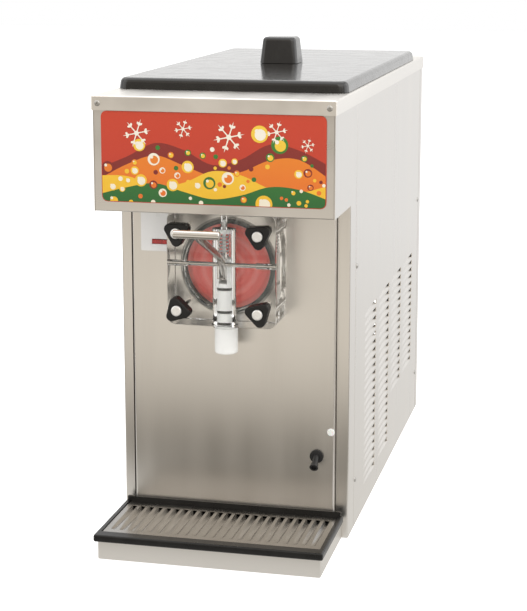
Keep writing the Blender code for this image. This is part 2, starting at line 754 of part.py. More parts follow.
def shell_block(name, low, high, taper, side_radius, top_radius, wall):
    """An open-bottomed moulded block with drafted sides and rounded edges."""
    bm = box_bm(low, high)
    middle = (Vector(low) + Vector(high)) / 2
    for vert in bm.verts:
        if vert.co.z > middle.z:
            vert.co.x = middle.x + (vert.co.x - middle.x) * taper[0]
            vert.co.y = middle.y + (vert.co.y - middle.y) * taper[1]
    uprights = [e for e in bm.edges if abs(e.verts[0].co.z - e.verts[1].co.z) > (high[2] - low[2]) / 2]
    bmesh.ops.bevel(bm, geom=uprights, offset=side_radius, segments=3, profile=0.5, affect="EDGES")
    top = [e for e in bm.edges if all(v.co.z > high[2] - 1e-5 for v in e.verts) and len(e.link_faces) == 2]
    bmesh.ops.bevel(bm, geom=top, offset=top_radius, segments=3, profile=0.5, affect="EDGES")
    bmesh.ops.delete(bm, geom=[f for f in bm.faces if f.normal.z < -0.9], context="FACES")
    return smooth(thicken(mesh_object(name, bm, (0, middle.y, low[2])), wall), 50)


def make_lid():
    middle = (LID_Y[0] + LID_Y[1]) / 2
    base = HEIGHT + 3 * GAP
    lid = shell_block(
        "hopper_lid",
        (-LID_HALF_WIDTH, LID_Y[0], base),
        (LID_HALF_WIDTH, LID_Y[1], LID_TOP),
        (0.99, 0.995),
        14 * MM,
        6 * MM,
        MOULDED_WALL,
    )
    place(lid, black_plastic(), (0, middle, base))
    foot = LID_TOP + 3 * GAP
    handle = shell_block(
        "lid_handle",
        (-28.5 * MM, LID_HANDLE_Y - 25 * MM, foot),
        (28.5 * MM, LID_HANDLE_Y + 25 * MM, foot + 38 * MM),
        (0.86, 0.86),
        7 * MM,
        5 * MM,
        MOULDED_WALL,
    )
    place(handle, black_plastic(), (0, LID_HANDLE_Y, foot))


def make_feed_tube():
    """The tube that lets the mix down from the hopper's floor into the barrel."""
    top = HOPPER_FLOOR + 5 * MM
    foot = BARREL_Z + BARREL_BORE + BARREL_WALL + 0.8 * MM
    rim, outer, bore, brim = 15 * MM, 9.8 * MM, 7 * MM, top + 3 * MM
    profile = [(rim, brim), (rim, top), (outer, top), (outer, foot), (bore, foot), (bore, brim)]
    place(turned_object("feed_tube", profile, segments=16), white_plastic(), (0, FEED_Y, 0))


# Freezing barrel


def make_barrel():
    """The stainless barrel with its front flange, on the square plate that carries the clamp studs."""
    front = PANEL_FACE + 0.4 * MM
    outer = BARREL_BORE + BARREL_WALL
    profile = [
        (BARREL_FLANGE, front),
        (BARREL_FLANGE, front + 6 * MM),
        (outer, front + 6 * MM),
        (outer, BARREL_REAR),
        (DRIVE_BORE, BARREL_REAR),
        (DRIVE_BORE, BARREL_REAR - BARREL_WALL),
        (BARREL_BORE, BARREL_REAR - BARREL_WALL),
        (BARREL_BORE, front),
    ]
    barrel = turned_object("freezing_barrel", profile, "Y", 24)
    place(barrel, steel(), (0, 0, BARREL_Z))
    half, (near, far) = STUD_PLATE_HALF, STUD_PLATE
    flange = box_tool("stud_plate", (-half, near, BARREL_Z - half), (half, far, BARREL_Z + half))
    near, far = (0, near - 40 * MM, BARREL_Z), (0, far + 40 * MM, BARREL_Z)
    cut(flange, rod_tool("stud_plate_bore", near, far, BARREL_BORE + 1.5 * MM, 24))
    join(barrel, flange)
    for x in (-STUD_X, STUD_X):
        for z in STUD_Z:
            cut(barrel, rod_tool("stud_hole", (x, -0.02, z), (x, 0.02, z), 4.4 * MM, 12))
    top = BARREL_Z + outer
    cut(barrel, rod_tool("mix_inlet", (0, FEED_Y, top - 10 * MM), (0, FEED_Y, top + 10 * MM), 7 * MM, 12))


def make_jacket():
    """Foam and evaporator jacket round the barrel, with the feed tube's hole."""
    inner = BARREL_BORE + BARREL_WALL + 4 * GAP
    profile = [(JACKET_RADIUS, 4 * MM), (JACKET_RADIUS, 304 * MM), (inner, 304 * MM), (inner, 4 * MM)]
    jacket = turned_object("barrel_jacket", profile, "Y", 24)
    place(jacket, material("foam", (0.55, 0.56, 0.5), roughness=0.9), (0, 0, BARREL_Z))
    start, end = (0, FEED_Y, BARREL_Z + 20 * MM), (0, FEED_Y, BARREL_Z + 120 * MM)
    cut(jacket, rod_tool("feed_hole", start, end, FEED_HOLE, 16))


def make_beater():
    """The beater: a helical scraper ribbon carried on its shaft by arms, with the drive stub at the rear."""
    front, rear = 14 * MM, 298 * MM
    turns, per_turn = 2.5, 16
    reach, root_radius, thickness = BARREL_BORE - 2 * MM, BARREL_BORE - 11.5 * MM, 4.5 * MM
    ribbon = bmesh.new()
    rows = []
    steps = int(turns * per_turn)
    for i in range(steps + 1):
        angle = 2 * math.pi * i / per_turn
        y = front + thickness + (rear - front - 2 * thickness) * i / steps
        ring = []
        for radius, offset in (
            (root_radius, -thickness),
            (reach, -thickness),
            (reach, thickness),
            (root_radius, thickness),
        ):
            point = (radius * math.cos(angle), y + offset, BARREL_Z + radius * math.sin(angle))
            ring.append(ribbon.verts.new(point))
        rows.append(ring)
    for a, b in zip(rows, rows[1:]):
        for k in range(4):
            ribbon.faces.new((a[k], a[(k + 1) % 4], b[(k + 1) % 4], b[k]))
    ribbon.faces.new(rows[0])
    ribbon.faces.new(rows[-1][::-1])
    bmesh.ops.recalc_face_normals(ribbon, faces=ribbon.faces)
    axis = (0, 0, BARREL_Z)
    beater = place(mesh_object("beater", ribbon, axis), material("white_acetal", WHITE), axis)
    join(beater, rod_tool("beater_shaft", (0, front, BARREL_Z), (0, 345 * MM, BARREL_Z), 8 * MM, 16))
    for i in (0, 13, 27, 40):
        angle = 2 * math.pi * i / per_turn
        y = front + thickness + (rear - front - 2 * thickness) * i / steps
        out = Vector((math.cos(angle), 0, math.sin(angle)))
        hub = Vector((0, y, BARREL_Z))
        end = hub + out * (root_radius + 4 * MM)
        join(beater, rod_tool("beater_arm", hub + out * 5 * MM, end, 3.2 * MM, 8))


def make_frozen_drink():
    """The drink that fills the barrel's mouth behind the clear head, ringed by the beater's strokes."""
    radius = BARREL_BORE - 2 * GAP
    face = PANEL_FACE + 0.8 * MM
    profile = [(0, 10 * MM), (radius, 10 * MM), (radius, face)]
    for ring in (45, 30, 15):
        profile += [((ring + 3) * MM, face), (ring * MM, face + 1.2 * MM)]
    profile.append((0, face))
    drink = turned_object("frozen_drink", profile, "Y", 24)
    place(drink, material("red_slush", (0.55, 0.10, 0.09), roughness=0.5), (0, 0, BARREL_Z))


def make_shaft_seal():
    profile = [(13.6, 309), (13.6, 324), (18, 324), (18, 328), (8.5, 328), (8.5, 309)]
    seal = turned_object("shaft_seal", [(r * MM, h * MM) for r, h in profile], "Y", 16)
    place(seal, rubber(), (0, 0, BARREL_Z))


def make_gear_motor():
    """Gearbox on a foot, motor behind it; the beater's shaft ends in the gearbox's hollow output."""
    z = BARREL_Z
    body = box_bm((-46 * MM, 332 * MM, z - 52 * MM), (46 * MM, 402 * MM, z + 46 * MM))
    motor = place(mesh_object("gear_motor", body), material("grey_paint", (0.16, 0.17, 0.18), roughness=0.5))
    bevel(motor, 5 * MM)
    join(
        motor,
        rod_tool("motor_can", (0, 396 * MM, z), (0, 545 * MM, z), 50 * MM, 20),
        rod_tool("motor_cap", (0, 540 * MM, z), (0, 556 * MM, z), 42 * MM, 20, 30 * MM),
        box_tool("motor_foot", (-60 * MM, 340 * MM, DECK_TOP + GAP), (60 * MM, 394 * MM, z - 46 * MM)),
    )
    cut(motor, rod_tool("output_bore", (0, 320 * MM, z), (0, 350 * MM, z), 8.4 * MM, 16))


# Clear head with its valve


def make_faceplate():
    """The clear block: barrel pocket behind, upright valve bore, handle slot and cross-pin holes."""
    half, front, back = HEAD_HALF_WIDTH, HEAD_FRONT, HEAD_BACK
    corners = rounded_rectangle(-half, HEAD_BOTTOM, half, HEAD_TOP, HEAD_CORNER, 3)
    block = outline_object("faceplate", corners, front, back, across="Y")
    place(block, clear_plastic())
    top = HEAD_BOTTOM + 20 * MM
    join(block, rod_tool("valve_boss", (0, VALVE_Y, BOSS_BOTTOM), (0, VALVE_Y, top), BOSS_RADIUS, 20))
    for name, (radius, depth) in (("head_pocket", HEAD_POCKET), ("gasket_seat", GASKET_SEAT)):
        cut(block, rod_tool(name, (0, back + 5 * MM, BARREL_Z), (0, back - depth, BARREL_Z), radius, 24))
    low, high = HEAD_BOTTOM - 20 * MM, HEAD_TOP + 5 * MM
    cut(
        block,
        rod_tool("valve_bore", (0, VALVE_Y, low), (0, VALVE_Y, BORE_TOP), VALVE_BORE, 20),
        rod_tool("stem_hole", (0, VALVE_Y, BORE_TOP - 5 * MM), (0, VALVE_Y, high), STEM_HOLE, 12),
        rod_tool("drink_port", (0, back - 8 * MM, PORT_Z), (0, VALVE_Y, PORT_Z), PORT_RADIUS, 12),
        slot_tool("handle_slot", front - 5 * MM, VALVE_Y, *SLOT_Z),
        rod_tool("pin_hole", (-half, PIVOT_Y, PIVOT_Z), (half, PIVOT_Y, PIVOT_Z), PIN_RADIUS + GAP, 12),
    )
    for side in (-1, 1):
        start = (side * (half + 5 * MM), PIVOT_Y, PIVOT_Z)
        end = (side * (half - SLEEVE_LENGTH - GAP), PIVOT_Y, PIVOT_Z)
        cut(block, rod_tool("sleeve_hole", start, end, SLEEVE_RADIUS + GAP, 12))
        for z in STUD_Z:
            x = side * STUD_X
            cut(block, rod_tool("stud_hole", (x, front - 0.01, z), (x, back + 0.01, z), STUD_HOLE, 12))


def slot_tool(name, near, far, low, high):
    """The handle's slot through the front wall of the valve bore."""
    return box_tool(name, (-SLOT_HALF_WIDTH, near, low), (SLOT_HALF_WIDTH, far, high))


def make_gasket():
    profile = [(63.6, -0.1), (63.6, -3.5), (63, -4.1), (60.6, -4.1), (60, -3.5), (60, -0.1)]
    gasket = turned_object("head_gasket", [(r * MM, h * MM) for r, h in profile], "Y", 24)
    place(gasket, rubber(), (0, HEAD_BACK, BARREL_Z))


def make_plunger():
    """The valve plunger: ringed body, hollow spout, guide stem and the pocket for the handle's tip."""
    stem, radius, spout = 3.6 * MM, PLUNGER_RADIUS, 11 * MM
    profile = [(0, STEM_TOP), (stem, STEM_TOP), (stem, PLUNGER_TOP), (radius, PLUNGER_TOP)]
    groove, half = RING_GROOVE
    for z in sorted(RING_Z, reverse=True):
        profile += [(radius, z + half), (groove, z + half), (groove, z - half), (radius, z - half)]
    roof = SPOUT_BOTTOM + 37 * MM
    profile += [(radius, SPOUT_BOTTOM + 2 * MM), (14.2 * MM, SPOUT_BOTTOM), (spout, SPOUT_BOTTOM)]
    profile += [(spout, roof), (0, roof)]
    plunger = turned_object("plunger", [(r, h - PLUNGER_TOP) for r, h in profile], segments=20)
    place(plunger, white_plastic(), (0, VALVE_Y, PLUNGER_TOP))
    pocket = [(-66, 363), (-38.6, 363), (-38.6, 375.5), (-50.2, 378.8), (-66, 398.6)]
    outline = [(y * MM, z * MM) for y, z in pocket]
    side = VALVE_Y + 20 * MM
    cut(
        plunger,
        place_cutter(outline_object("tip_pocket", outline, -SLOT_HALF_WIDTH, SLOT_HALF_WIDTH)),
        rod_tool("outlet_throat", (0, VALVE_Y, roof - 5 * MM), (0, VALVE_Y, WINDOW_Z + 1 * MM), 8 * MM, 16),
        rod_tool("outlet_window", (0, VALVE_Y, WINDOW_Z), (0, side, WINDOW_Z), 4.5 * MM, 12),
    )


def make_o_rings():
    names = ("o_ring_lower", "o_ring_middle", "o_ring_upper")
    for name, z in zip(names, RING_Z):
        bm = bmesh.new()
        circle = bmesh.ops.create_circle(
            bm,
            segments=6,
            radius=1.5 * MM,
            matrix=Matrix.Translation((14.15 * MM, 0, 0)) @ Matrix.Rotation(math.pi / 2, 4, "X"),
        )
        section = circle["verts"] + list(bm.edges)
        bmesh.ops.spin(bm, geom=section, axis=(0, 0, 1), cent=(0, 0, 0), angle=2 * math.pi, steps=18)
        bmesh.ops.remove_doubles(bm, verts=bm.verts, dist=1e-6)
        bmesh.ops.recalc_face_normals(bm, faces=bm.faces)
        mesh = bpy.data.meshes.new(name)
        bm.to_mesh(mesh)
        bm.free()
        place(smooth(bpy.data.objects.new(name, mesh)), rubber(), (0, VALVE_Y, z))


def make_valve_spring():
    """The compression spring between the plunger and its seat, drawn as one unbroken helix."""
    radius = 9.5 * MM
    low = PLUNGER_TOP + GAP + SPRING_WIRE
    high = SPRING_TOP - GAP - SPRING_WIRE
    per_turn = 8
    count = int(SPRING_TURNS * per_turn) + 1
    points = []
    for i in range(count):
        angle = 2 * math.pi * i / per_turn
        z = low + (high - low) * i / (count - 1)
        points.append((radius * math.cos(angle), radius * math.sin(angle), z - PLUNGER_TOP))
    least = min(
        (Vector(points[i]) - Vector(points[j])).length
        for i in range(count)
        for j in range(i + per_turn // 2, count)
    )
    print(f"valve spring: least gap between curls {(least - 2 * SPRING_WIRE) / MM:.2f} mm")
    spring = tube_object("valve_spring", points, SPRING_WIRE, resolution=1)
    place(spring, material("spring_steel", (0.6, 0.6, 0.62), 0.25, 1.0), (0, VALVE_Y, PLUNGER_TOP))


def make_spring_seat():
    profile = [(15.4, 435.6), (15.4, 430.4), (14.8, 429.8), (4.2, 429.8), (4.2, 435.6)]
    seat = turned_object("spring_seat", [(r * MM, h * MM) for r, h in profile], segments=16)
    place(seat, white_plastic(), (0, VALVE_Y, 0))


def make_pivot_pin():
    """The cross pin with its thick head end, and the sleeve nut that takes its other end."""
    half, r, big = HEAD_HALF_WIDTH - GAP, PIN_RADIUS, SLEEVE_RADIUS
    pin = mesh_object(
        "pivot_pin", rod_bm((-half + 6 * MM, PIVOT_Y, PIVOT_Z), (half - 10 * MM, PIVOT_Y, PIVOT_Z), r, 12)
    )
    place(pin, steel())
    head = half - SLEEVE_LENGTH + 2 * GAP
    join(pin, rod_tool("pin_head", (head, PIVOT_Y, PIVOT_Z), (half, PIVOT_Y, PIVOT_Z), big, 12))
    sleeve_bm = rod_bm((-half, PIVOT_Y, PIVOT_Z), (-head, PIVOT_Y, PIVOT_Z), big, 12)
    sleeve = place(mesh_object("pivot_sleeve", sleeve_bm), steel())
    start, end = -half + 5 * MM, -head + 5 * MM
    cut(sleeve, rod_tool("sleeve_bore", (start, PIVOT_Y, PIVOT_Z), (end, PIVOT_Y, PIVOT_Z), r + GAP, 12))


def make_handle():
    """The T-handle: a bent rod from the plunger's pocket, over the pin, up to the grip bar."""
    pivot = (0, PIVOT_Y, PIVOT_Z)
    route = [
        (-54, 369.5),
        (-59.5, 379),
        (PIVOT_Y / MM, PIVOT_Z / MM),
        (-78, 400),
        (-94, 407.5),
        (-128, 422),
        (-160, 435.5),
        (-178, 443.2),
        (GRIP_Y / MM, GRIP_Z / MM),
    ]
    path = smooth_path([(0, y * MM, z * MM) for y, z in route], 2)
    arm = place(meshed(tube_object("dispensing_handle", path, ROD_RADIUS), pivot), steel(), pivot)
    grip = mesh_object(
        "grip_bar",
        rod_bm((-GRIP_HALF_LENGTH, GRIP_Y, GRIP_Z), (GRIP_HALF_LENGTH, GRIP_Y, GRIP_Z), GRIP_RADIUS, 16),
    )
    join(arm, bevel(place_cutter(grip), 1.5 * MM, 2))
    start, end = (-10 * MM, PIVOT_Y, PIVOT_Z), (10 * MM, PIVOT_Y, PIVOT_Z)
    cut(arm, rod_tool("handle_pin_hole", start, end, PIN_RADIUS + GAP, 12))


def lobed_outline(lobe_distance, lobe_radius, turn, arc_steps=3):
    """A three-lobed outline: the round lobes' outer arcs joined by straight flanks."""
    points = []
    for lobe in range(3):
        middle = turn + 120 * lobe
        centre = Vector((math.cos(math.radians(middle)), math.sin(math.radians(middle)))) * lobe_distance
        for i in range(arc_steps + 1):
            angle = math.radians(middle - 60 + 120 * i / arc_steps)
            points.append(tuple(centre + Vector((math.cos(angle), math.sin(angle))) * lobe_radius))
    return points


def make_clamp(corner, x, z, turn):
    """One clamp of the head: stud through the block, three-lobed knob and the metal cap in its face."""
    head = STUD_PLATE[1] + GAP
    stud = mesh_object("stud_" + corner, rod_bm((x, head + 2 * MM, z), (x, -90 * MM, z), 4 * MM, 12))
    place(stud, steel())
    join(stud, rod_tool("stud_head", (x, head, z), (x, head + 3.5 * MM, z), 7 * MM, 6))

    axis = (x, 0, z)
    outline = [(x + u, z + v) for u, v in lobed_outline(*KNOB_LOBES, turn)]
    knob = outline_object("knob_" + corner, outline, KNOB_FRONT, KNOB_BACK, across="Y", at=axis)
    bevel(place(knob, black_plastic(), axis), 2 * MM, 2)
    collar = rod_tool("knob_collar", (x, HEAD_FRONT - GAP, z), (x, KNOB_BACK - 4 * MM, z), 9 * MM, 12)
    thread = rod_tool("knob_thread", (x, HEAD_FRONT + 0.01, z), (x, KNOB_BACK - 11 * MM, z), STUD_HOLE, 8)
    start, end = (x, KNOB_FRONT + 2 * MM, z), (x, KNOB_FRONT - 10 * MM, z)
    seat = rod_tool("cap_seat", start, end, CAP_RADIUS + 2 * GAP, 12)
    join(knob, collar)
    cut(knob, thread, seat)

    cap = mesh_object(
        "knob_cap_" + corner,
        rod_bm((x, KNOB_FRONT + 1.6 * MM, z), (x, KNOB_FRONT - 2.6 * MM, z), CAP_RADIUS, 16),
        axis,
    )
    bevel(place(cap, material("aluminium", (0.78, 0.78, 0.78), 0.35, 1.0), axis), 1 * MM)


# Refrigeration


def make_condenser():
    """A finned block between end plates, with its fins cut as grooves."""
    half = 118 * MM
    low, high = CONDENSER_Z
    front, back = CONDENSER_Y
    block = place(
        mesh_object("condenser", box_bm((-half, front, low), (half, back, high))),
        material("fin_aluminium", (0.6, 0.6, 0.6), 0.5, 0.9),
    )
    grooves = bmesh.new()
    count = 12
    pitch = (high - low) / count
    for i in range(count):
        z = low + (i + 0.5) * pitch
        for near, far in ((front - 5 * MM, front + 9 * MM), (back - 9 * MM, back + 5 * MM)):
            box_bm((-half + 6 * MM, near, z - 0.3 * pitch), (half - 6 * MM, far, z + 0.3 * pitch), grooves)
    cut(block, place_cutter(mesh_object("fin_grooves", grooves)))
    foot = box_tool("condenser_foot", (-half, front, FOOT_LEVEL), (half, back, low + 2 * MM))
    join(block, foot)


def make_fan():
    """The shroud behind the condenser, the fan in its ring and the fan's motor on a post."""
    half, (low, high) = 122 * MM, CONDENSER_Z
    front = CONDENSER_Y[1] + 2 * GAP
    shroud_bm = box_bm((-half, front, FOOT_LEVEL), (half, front + 26 * MM, high + 4 * MM))
    shroud = place(mesh_object("fan_shroud", shroud_bm), steel())
    inner = half - 2 * MM
    inside = box_tool("shroud_inside", (-inner, front - 5 * MM, low), (inner, front + 24 * MM, high))
    ring = rod_tool("shroud_ring", (0, front, FAN_Z), (0, front + 40 * MM, FAN_Z), 104 * MM, 32)
    cut(shroud, inside, ring)

    motor_front = FAN_Y + 12 * MM
    motor_bm = rod_bm((0, motor_front, FAN_Z), (0, motor_front + 56 * MM, FAN_Z), 36 * MM, 20)
    motor = place(mesh_object("fan_motor", motor_bm), material("grey_paint", (0.16, 0.17, 0.18)))
    post_y = (motor_front + 8 * MM, motor_front + 40 * MM)
    join(
        motor,
        box_tool("motor_post", (-14 * MM, post_y[0], 4 * MM), (14 * MM, post_y[1], FAN_Z - 20 * MM)),
        box_tool("motor_post_foot", (-40 * MM, post_y[0], FOOT_LEVEL), (40 * MM, post_y[1], 5 * MM)),
        rod_tool("motor_shaft", (0, FAN_Y - 8 * MM, FAN_Z), (0, motor_front + 5 * MM, FAN_Z), 4 * MM, 12),
    )

    axis = (0, FAN_Y, FAN_Z)
    hub_bm = rod_bm((0, FAN_Y - 10 * MM, FAN_Z), (0, FAN_Y + 9 * MM, FAN_Z), 22 * MM, 20)
    hub = place(mesh_object("fan_blade", hub_bm, axis), material("grey_plastic", (0.3, 0.3, 0.31)), axis)
    for i in range(5):
        join(hub, place_cutter(fan_wing(2 * math.pi * i / 5, axis), axis))
    cut(hub, rod_tool("fan_bore", (0, FAN_Y - 0.02, FAN_Z), (0, FAN_Y + 0.02, FAN_Z), 4.4 * MM, 12))


def fan_wing(turn, axis):
    """One twisted blade, lofted from the hub out to the tip."""
    bm = bmesh.new()
    rows = []
    for radius, width, pitch in ((18, 26, 42), (52, 44, 30), (98, 56, 20)):
        ring = []
        tilt = math.radians(pitch)
        for along, across in ((-0.5, -1), (0.5, -1), (0.5, 1), (-0.5, 1)):
            sweep = along * width * MM * math.cos(tilt)
            rise = along * width * MM * math.sin(tilt) * 0.5 + across * 1.2 * MM
            angle = turn + sweep / (radius * MM)
            ring.append(
                bm.verts.new(
                    (
                        axis[0] + radius * MM * math.cos(angle),
                        axis[1] + rise,
                        axis[2] + radius * MM * math.sin(angle),
                    )
                )
            )
        rows.append(ring)
    for a, b in zip(rows, rows[1:]):
        for k in range(4):
            bm.faces.new((a[k], a[(k + 1) % 4], b[(k + 1) % 4], b[k]))
    bm.faces.new(rows[0])
    bm.faces.new(rows[-1])
    bmesh.ops.recalc_face_normals(bm, faces=bm.faces)
    return mesh_object("fan_wing", bm, axis)


def make_compressor():
    """The hermetic compressor's pot on its footplate."""
    profile = [(0, 196), (34, 190), (60, 172), (70, 146), (72, 112), (75, 108), (75, 100), (72, 96)]
    profile += [(66, 40), (44, 16), (0, 10)]
    x, y = COMPRESSOR
    pot = turned_object("compressor", [(r * MM, h * MM) for r, h in profile], segments=20)
    place(pot, material("black_enamel", (0.03, 0.03, 0.035), 0.3), (x, y, 0))
    low, high = (x - 84 * MM, y - 60 * MM, FOOT_LEVEL), (x + 84 * MM, y + 60 * MM, 12 * MM)
    join(pot, box_tool("compressor_foot", low, high))


def make_control_box():
    low, high = (-150 * MM, 24 * MM, DECK_TOP + GAP), (-92 * MM, 150 * MM, 430 * MM)
    box = place(mesh_object("control_box", box_bm(low, high)), material("grey_paint", (0.16, 0.17, 0.18)))
    bevel(box, 3 * MM)


def make_mains_gland():
    """The bush in the rear sheet that a mains lead leaves through."""
    x, z = GLAND
    profile = [(8.8, -10), (8.8, 0.3), (12, 0.3), (12, 4), (8.5, 9), (5.6, 9), (5.6, -10)]
    gland = turned_object("mains_gland", [(r * MM, h * MM) for r, h in profile], "Y", 16)
    place(gland, black_plastic(), (x, DEPTH, z))


def build():
    make_bottom_pan()
    for side_name, side in (("left", -1), ("right", 1)):
        make_cheek("cheek_" + side_name, side)
        make_side_panel("side_panel_" + side_name, side)
    make_front_panel()
    make_rear_panel()
    make_top_panel()
    make_header_front()
    make_graphic_panel()
    make_machine_deck()
    make_controls()
    make_switch()
    make_drain()
    make_hole_plug()
    make_base_pan()
    make_drip_tray()
    make_drip_grille()
    make_hopper()
    make_lid()
    make_feed_tube()
    make_barrel()
    make_jacket()
    make_beater()
    make_frozen_drink()
    make_shaft_seal()
    make_gear_motor()
    make_faceplate()
    make_gasket()
    make_plunger()
    make_o_rings()
    make_valve_spring()
    make_spring_seat()
    make_pivot_pin()
    make_handle()
    for corner, x, z, turn in (
        ("upper_left", -STUD_X, STUD_Z[1], 30),
        ("upper_right", STUD_X, STUD_Z[1], 34),
        ("lower_left", -STUD_X, STUD_Z[0], -14),
        ("lower_right", STUD_X, STUD_Z[0], 44),
    ):
        make_clamp(corner, x, z, turn)
    make_condenser()
    make_fan()
    make_compressor()
    make_control_box()
    make_mains_gland()


clear_scene()
parts = new_collection("frozen_drink_dispenser")
cutters = new_collection("cutters")
root = bpy.data.objects.new("dispenser", None)
root.location = (0, -DEPTH / 2, 0)
parts.objects.link(root)
build()
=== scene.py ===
"""Dresses a countertop frozen-drink dispenser round its packed CAD frame, with its studio and camera.

Lengths are metres. POSTS is the plane of the cabinet's front posts: depths in the text are told from it.
"""

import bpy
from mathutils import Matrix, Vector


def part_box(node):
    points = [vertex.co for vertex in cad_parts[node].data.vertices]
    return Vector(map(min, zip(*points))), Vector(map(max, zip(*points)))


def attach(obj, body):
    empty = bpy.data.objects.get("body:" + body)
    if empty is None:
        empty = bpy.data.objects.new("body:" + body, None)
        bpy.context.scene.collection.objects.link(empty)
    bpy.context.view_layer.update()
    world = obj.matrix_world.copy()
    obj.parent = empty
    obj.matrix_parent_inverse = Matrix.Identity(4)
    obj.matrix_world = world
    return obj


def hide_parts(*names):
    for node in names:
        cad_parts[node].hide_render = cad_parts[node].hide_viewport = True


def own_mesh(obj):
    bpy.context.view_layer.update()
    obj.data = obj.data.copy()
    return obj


bl_info = {
    "name": "Frozen Drink Dispenser",
    "version": (1, 0, 0),
    "blender": (4, 5, 0),
    "location": "View3D > Sidebar > Dispenser",
    "description": "Builds the finished dispenser round its CAD frame",
    "category": "Add Mesh",
}

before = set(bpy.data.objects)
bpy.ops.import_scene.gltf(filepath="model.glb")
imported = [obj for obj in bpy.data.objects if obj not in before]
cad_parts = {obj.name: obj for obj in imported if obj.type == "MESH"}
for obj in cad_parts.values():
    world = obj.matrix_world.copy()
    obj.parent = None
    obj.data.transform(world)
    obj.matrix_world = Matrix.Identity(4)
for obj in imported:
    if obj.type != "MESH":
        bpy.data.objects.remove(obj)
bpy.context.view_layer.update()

import math
import random

import bmesh
import bpy
from mathutils import Matrix, Vector, noise

MM = 0.001
UP = (0, 0, 1)
FORWARD = (0, -1, 0)
BACKWARD = (0, 1, 0)
ACROSS = (1, 0, 0)

SHEET = 1.2 * MM
PANEL_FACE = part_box("front_panel")[0].y
POSTS = PANEL_FACE + 10 * MM
SWITCH = (-104 * MM, PANEL_FACE, 452 * MM)
SWITCH_HOLE = 6.4 * MM
DRAIN = (117 * MM, PANEL_FACE, 118 * MM)
PLUG = (136.3 * MM, PANEL_FACE, 153 * MM)

BARREL = Vector((0, POSTS, 381 * MM))
VALVE = Vector((0, POSTS - 46.5 * MM, 0))
RING_HEIGHTS = {"o_ring_lower": 308.5 * MM, "o_ring_middle": 324.5 * MM, "o_ring_upper": 355.5 * MM}
SLOT_HALF = 5.7 * MM
PIVOT = Vector((0, POSTS - 67 * MM, 390 * MM))
PIN_RADIUS = 2.7 * MM
PIN_PLAY = 0.3 * MM
SLEEVE_RADIUS = 3.75 * MM
CORNERS = {
    "upper_left": (-54.5 * MM, 434 * MM, 30),
    "upper_right": (54.5 * MM, 434 * MM, 34),
    "lower_left": (-54.5 * MM, 331 * MM, -14),
    "lower_right": (54.5 * MM, 331 * MM, 44),
}


# Settings


class SheetSettings(bpy.types.PropertyGroup):
    bend: bpy.props.FloatProperty(
        name="Bend", description="Outer radius of a folded sheet's bends", default=2 * MM, unit="LENGTH"
    )
    louvre_pitch: bpy.props.FloatProperty(
        name="Louvre pitch",
        description="Height from one side louvre to the next",
        default=11.8 * MM,
        unit="LENGTH",
    )
    louvre_depth: bpy.props.FloatProperty(
        name="Louvre depth",
        description="How far a louvre's rear end is pressed in",
        default=5 * MM,
        unit="LENGTH",
    )
    steel: bpy.props.FloatVectorProperty(
        name="Steel", description="Tone of the stainless sheet", default=(0.73, 0.705, 0.67), subtype="COLOR"
    )


class HeadSettings(bpy.types.PropertyGroup):
    edge: bpy.props.FloatProperty(
        name="Block edge", description="Rounding of the clear block's edges", default=1.4 * MM, unit="LENGTH"
    )
    drink: bpy.props.FloatVectorProperty(
        name="Drink", description="Colour of the frozen drink", default=(0.84, 0.10, 0.075), subtype="COLOR"
    )
    turns: bpy.props.FloatProperty(
        name="Spring turns", description="Turns of the valve spring", default=6.5, min=3, max=9
    )


class PrintSettings(bpy.types.PropertyGroup):
    ground: bpy.props.FloatVectorProperty(
        name="Ground",
        description="Ground colour of the printed panel",
        default=(0.45, 0.034, 0.015),
        subtype="COLOR",
    )
    bubbles: bpy.props.IntProperty(
        name="Bubbles", description="Number of printed bubbles", default=74, min=0, max=200
    )


class StageSettings(bpy.types.PropertyGroup):
    key: bpy.props.FloatProperty(
        name="Key lamp", description="Power of the key lamp", default=30, min=0, unit="POWER"
    )
    surround: bpy.props.FloatProperty(
        name="Surround", description="Strength of the light from all round", default=0.75, min=0
    )
    floor: bpy.props.FloatVectorProperty(
        name="Floor", description="Colour of the floor", default=(0.86, 0.86, 0.85), subtype="COLOR"
    )


SETTINGS = {
    "dispenser_sheets": SheetSettings,
    "dispenser_head": HeadSettings,
    "dispenser_print": PrintSettings,
    "dispenser_stage": StageSettings,
}


def setting(group, name):
    """A setting's value, with a colour as a plain tuple."""
    value = getattr(getattr(bpy.context.scene, "dispenser_" + group), name)
    return value if isinstance(value, (int, float)) else tuple(value)


# Shader graphs


def new_shader(name, color, roughness, metallic=0.0, **sockets):
    """A material and its tree, with plain values on the Principled shader."""
    made = bpy.data.materials.new(name)
    made.use_nodes = True
    tree = made.node_tree
    shader = tree.nodes["Principled BSDF"]
    shader.inputs["Base Color"].default_value = (*color, 1)
    shader.inputs["Roughness"].default_value = roughness
    shader.inputs["Metallic"].default_value = metallic
    for socket, value in sockets.items():
        shader.inputs[socket.replace("_", " ").title().replace("Ior", "IOR")].default_value = value
    return made, tree, shader


def add(tree, kind, values=None, **settings):
    """A node with its settings; a value is put on its input, and a socket is linked to it."""
    node = tree.nodes.new("ShaderNode" + kind)
    for key, value in settings.items():
        setattr(node, key, value)
    for key, value in (values or {}).items():
        if isinstance(value, bpy.types.NodeSocket):
            tree.links.new(value, node.inputs[key])
        else:
            node.inputs[key].default_value = value
    return node


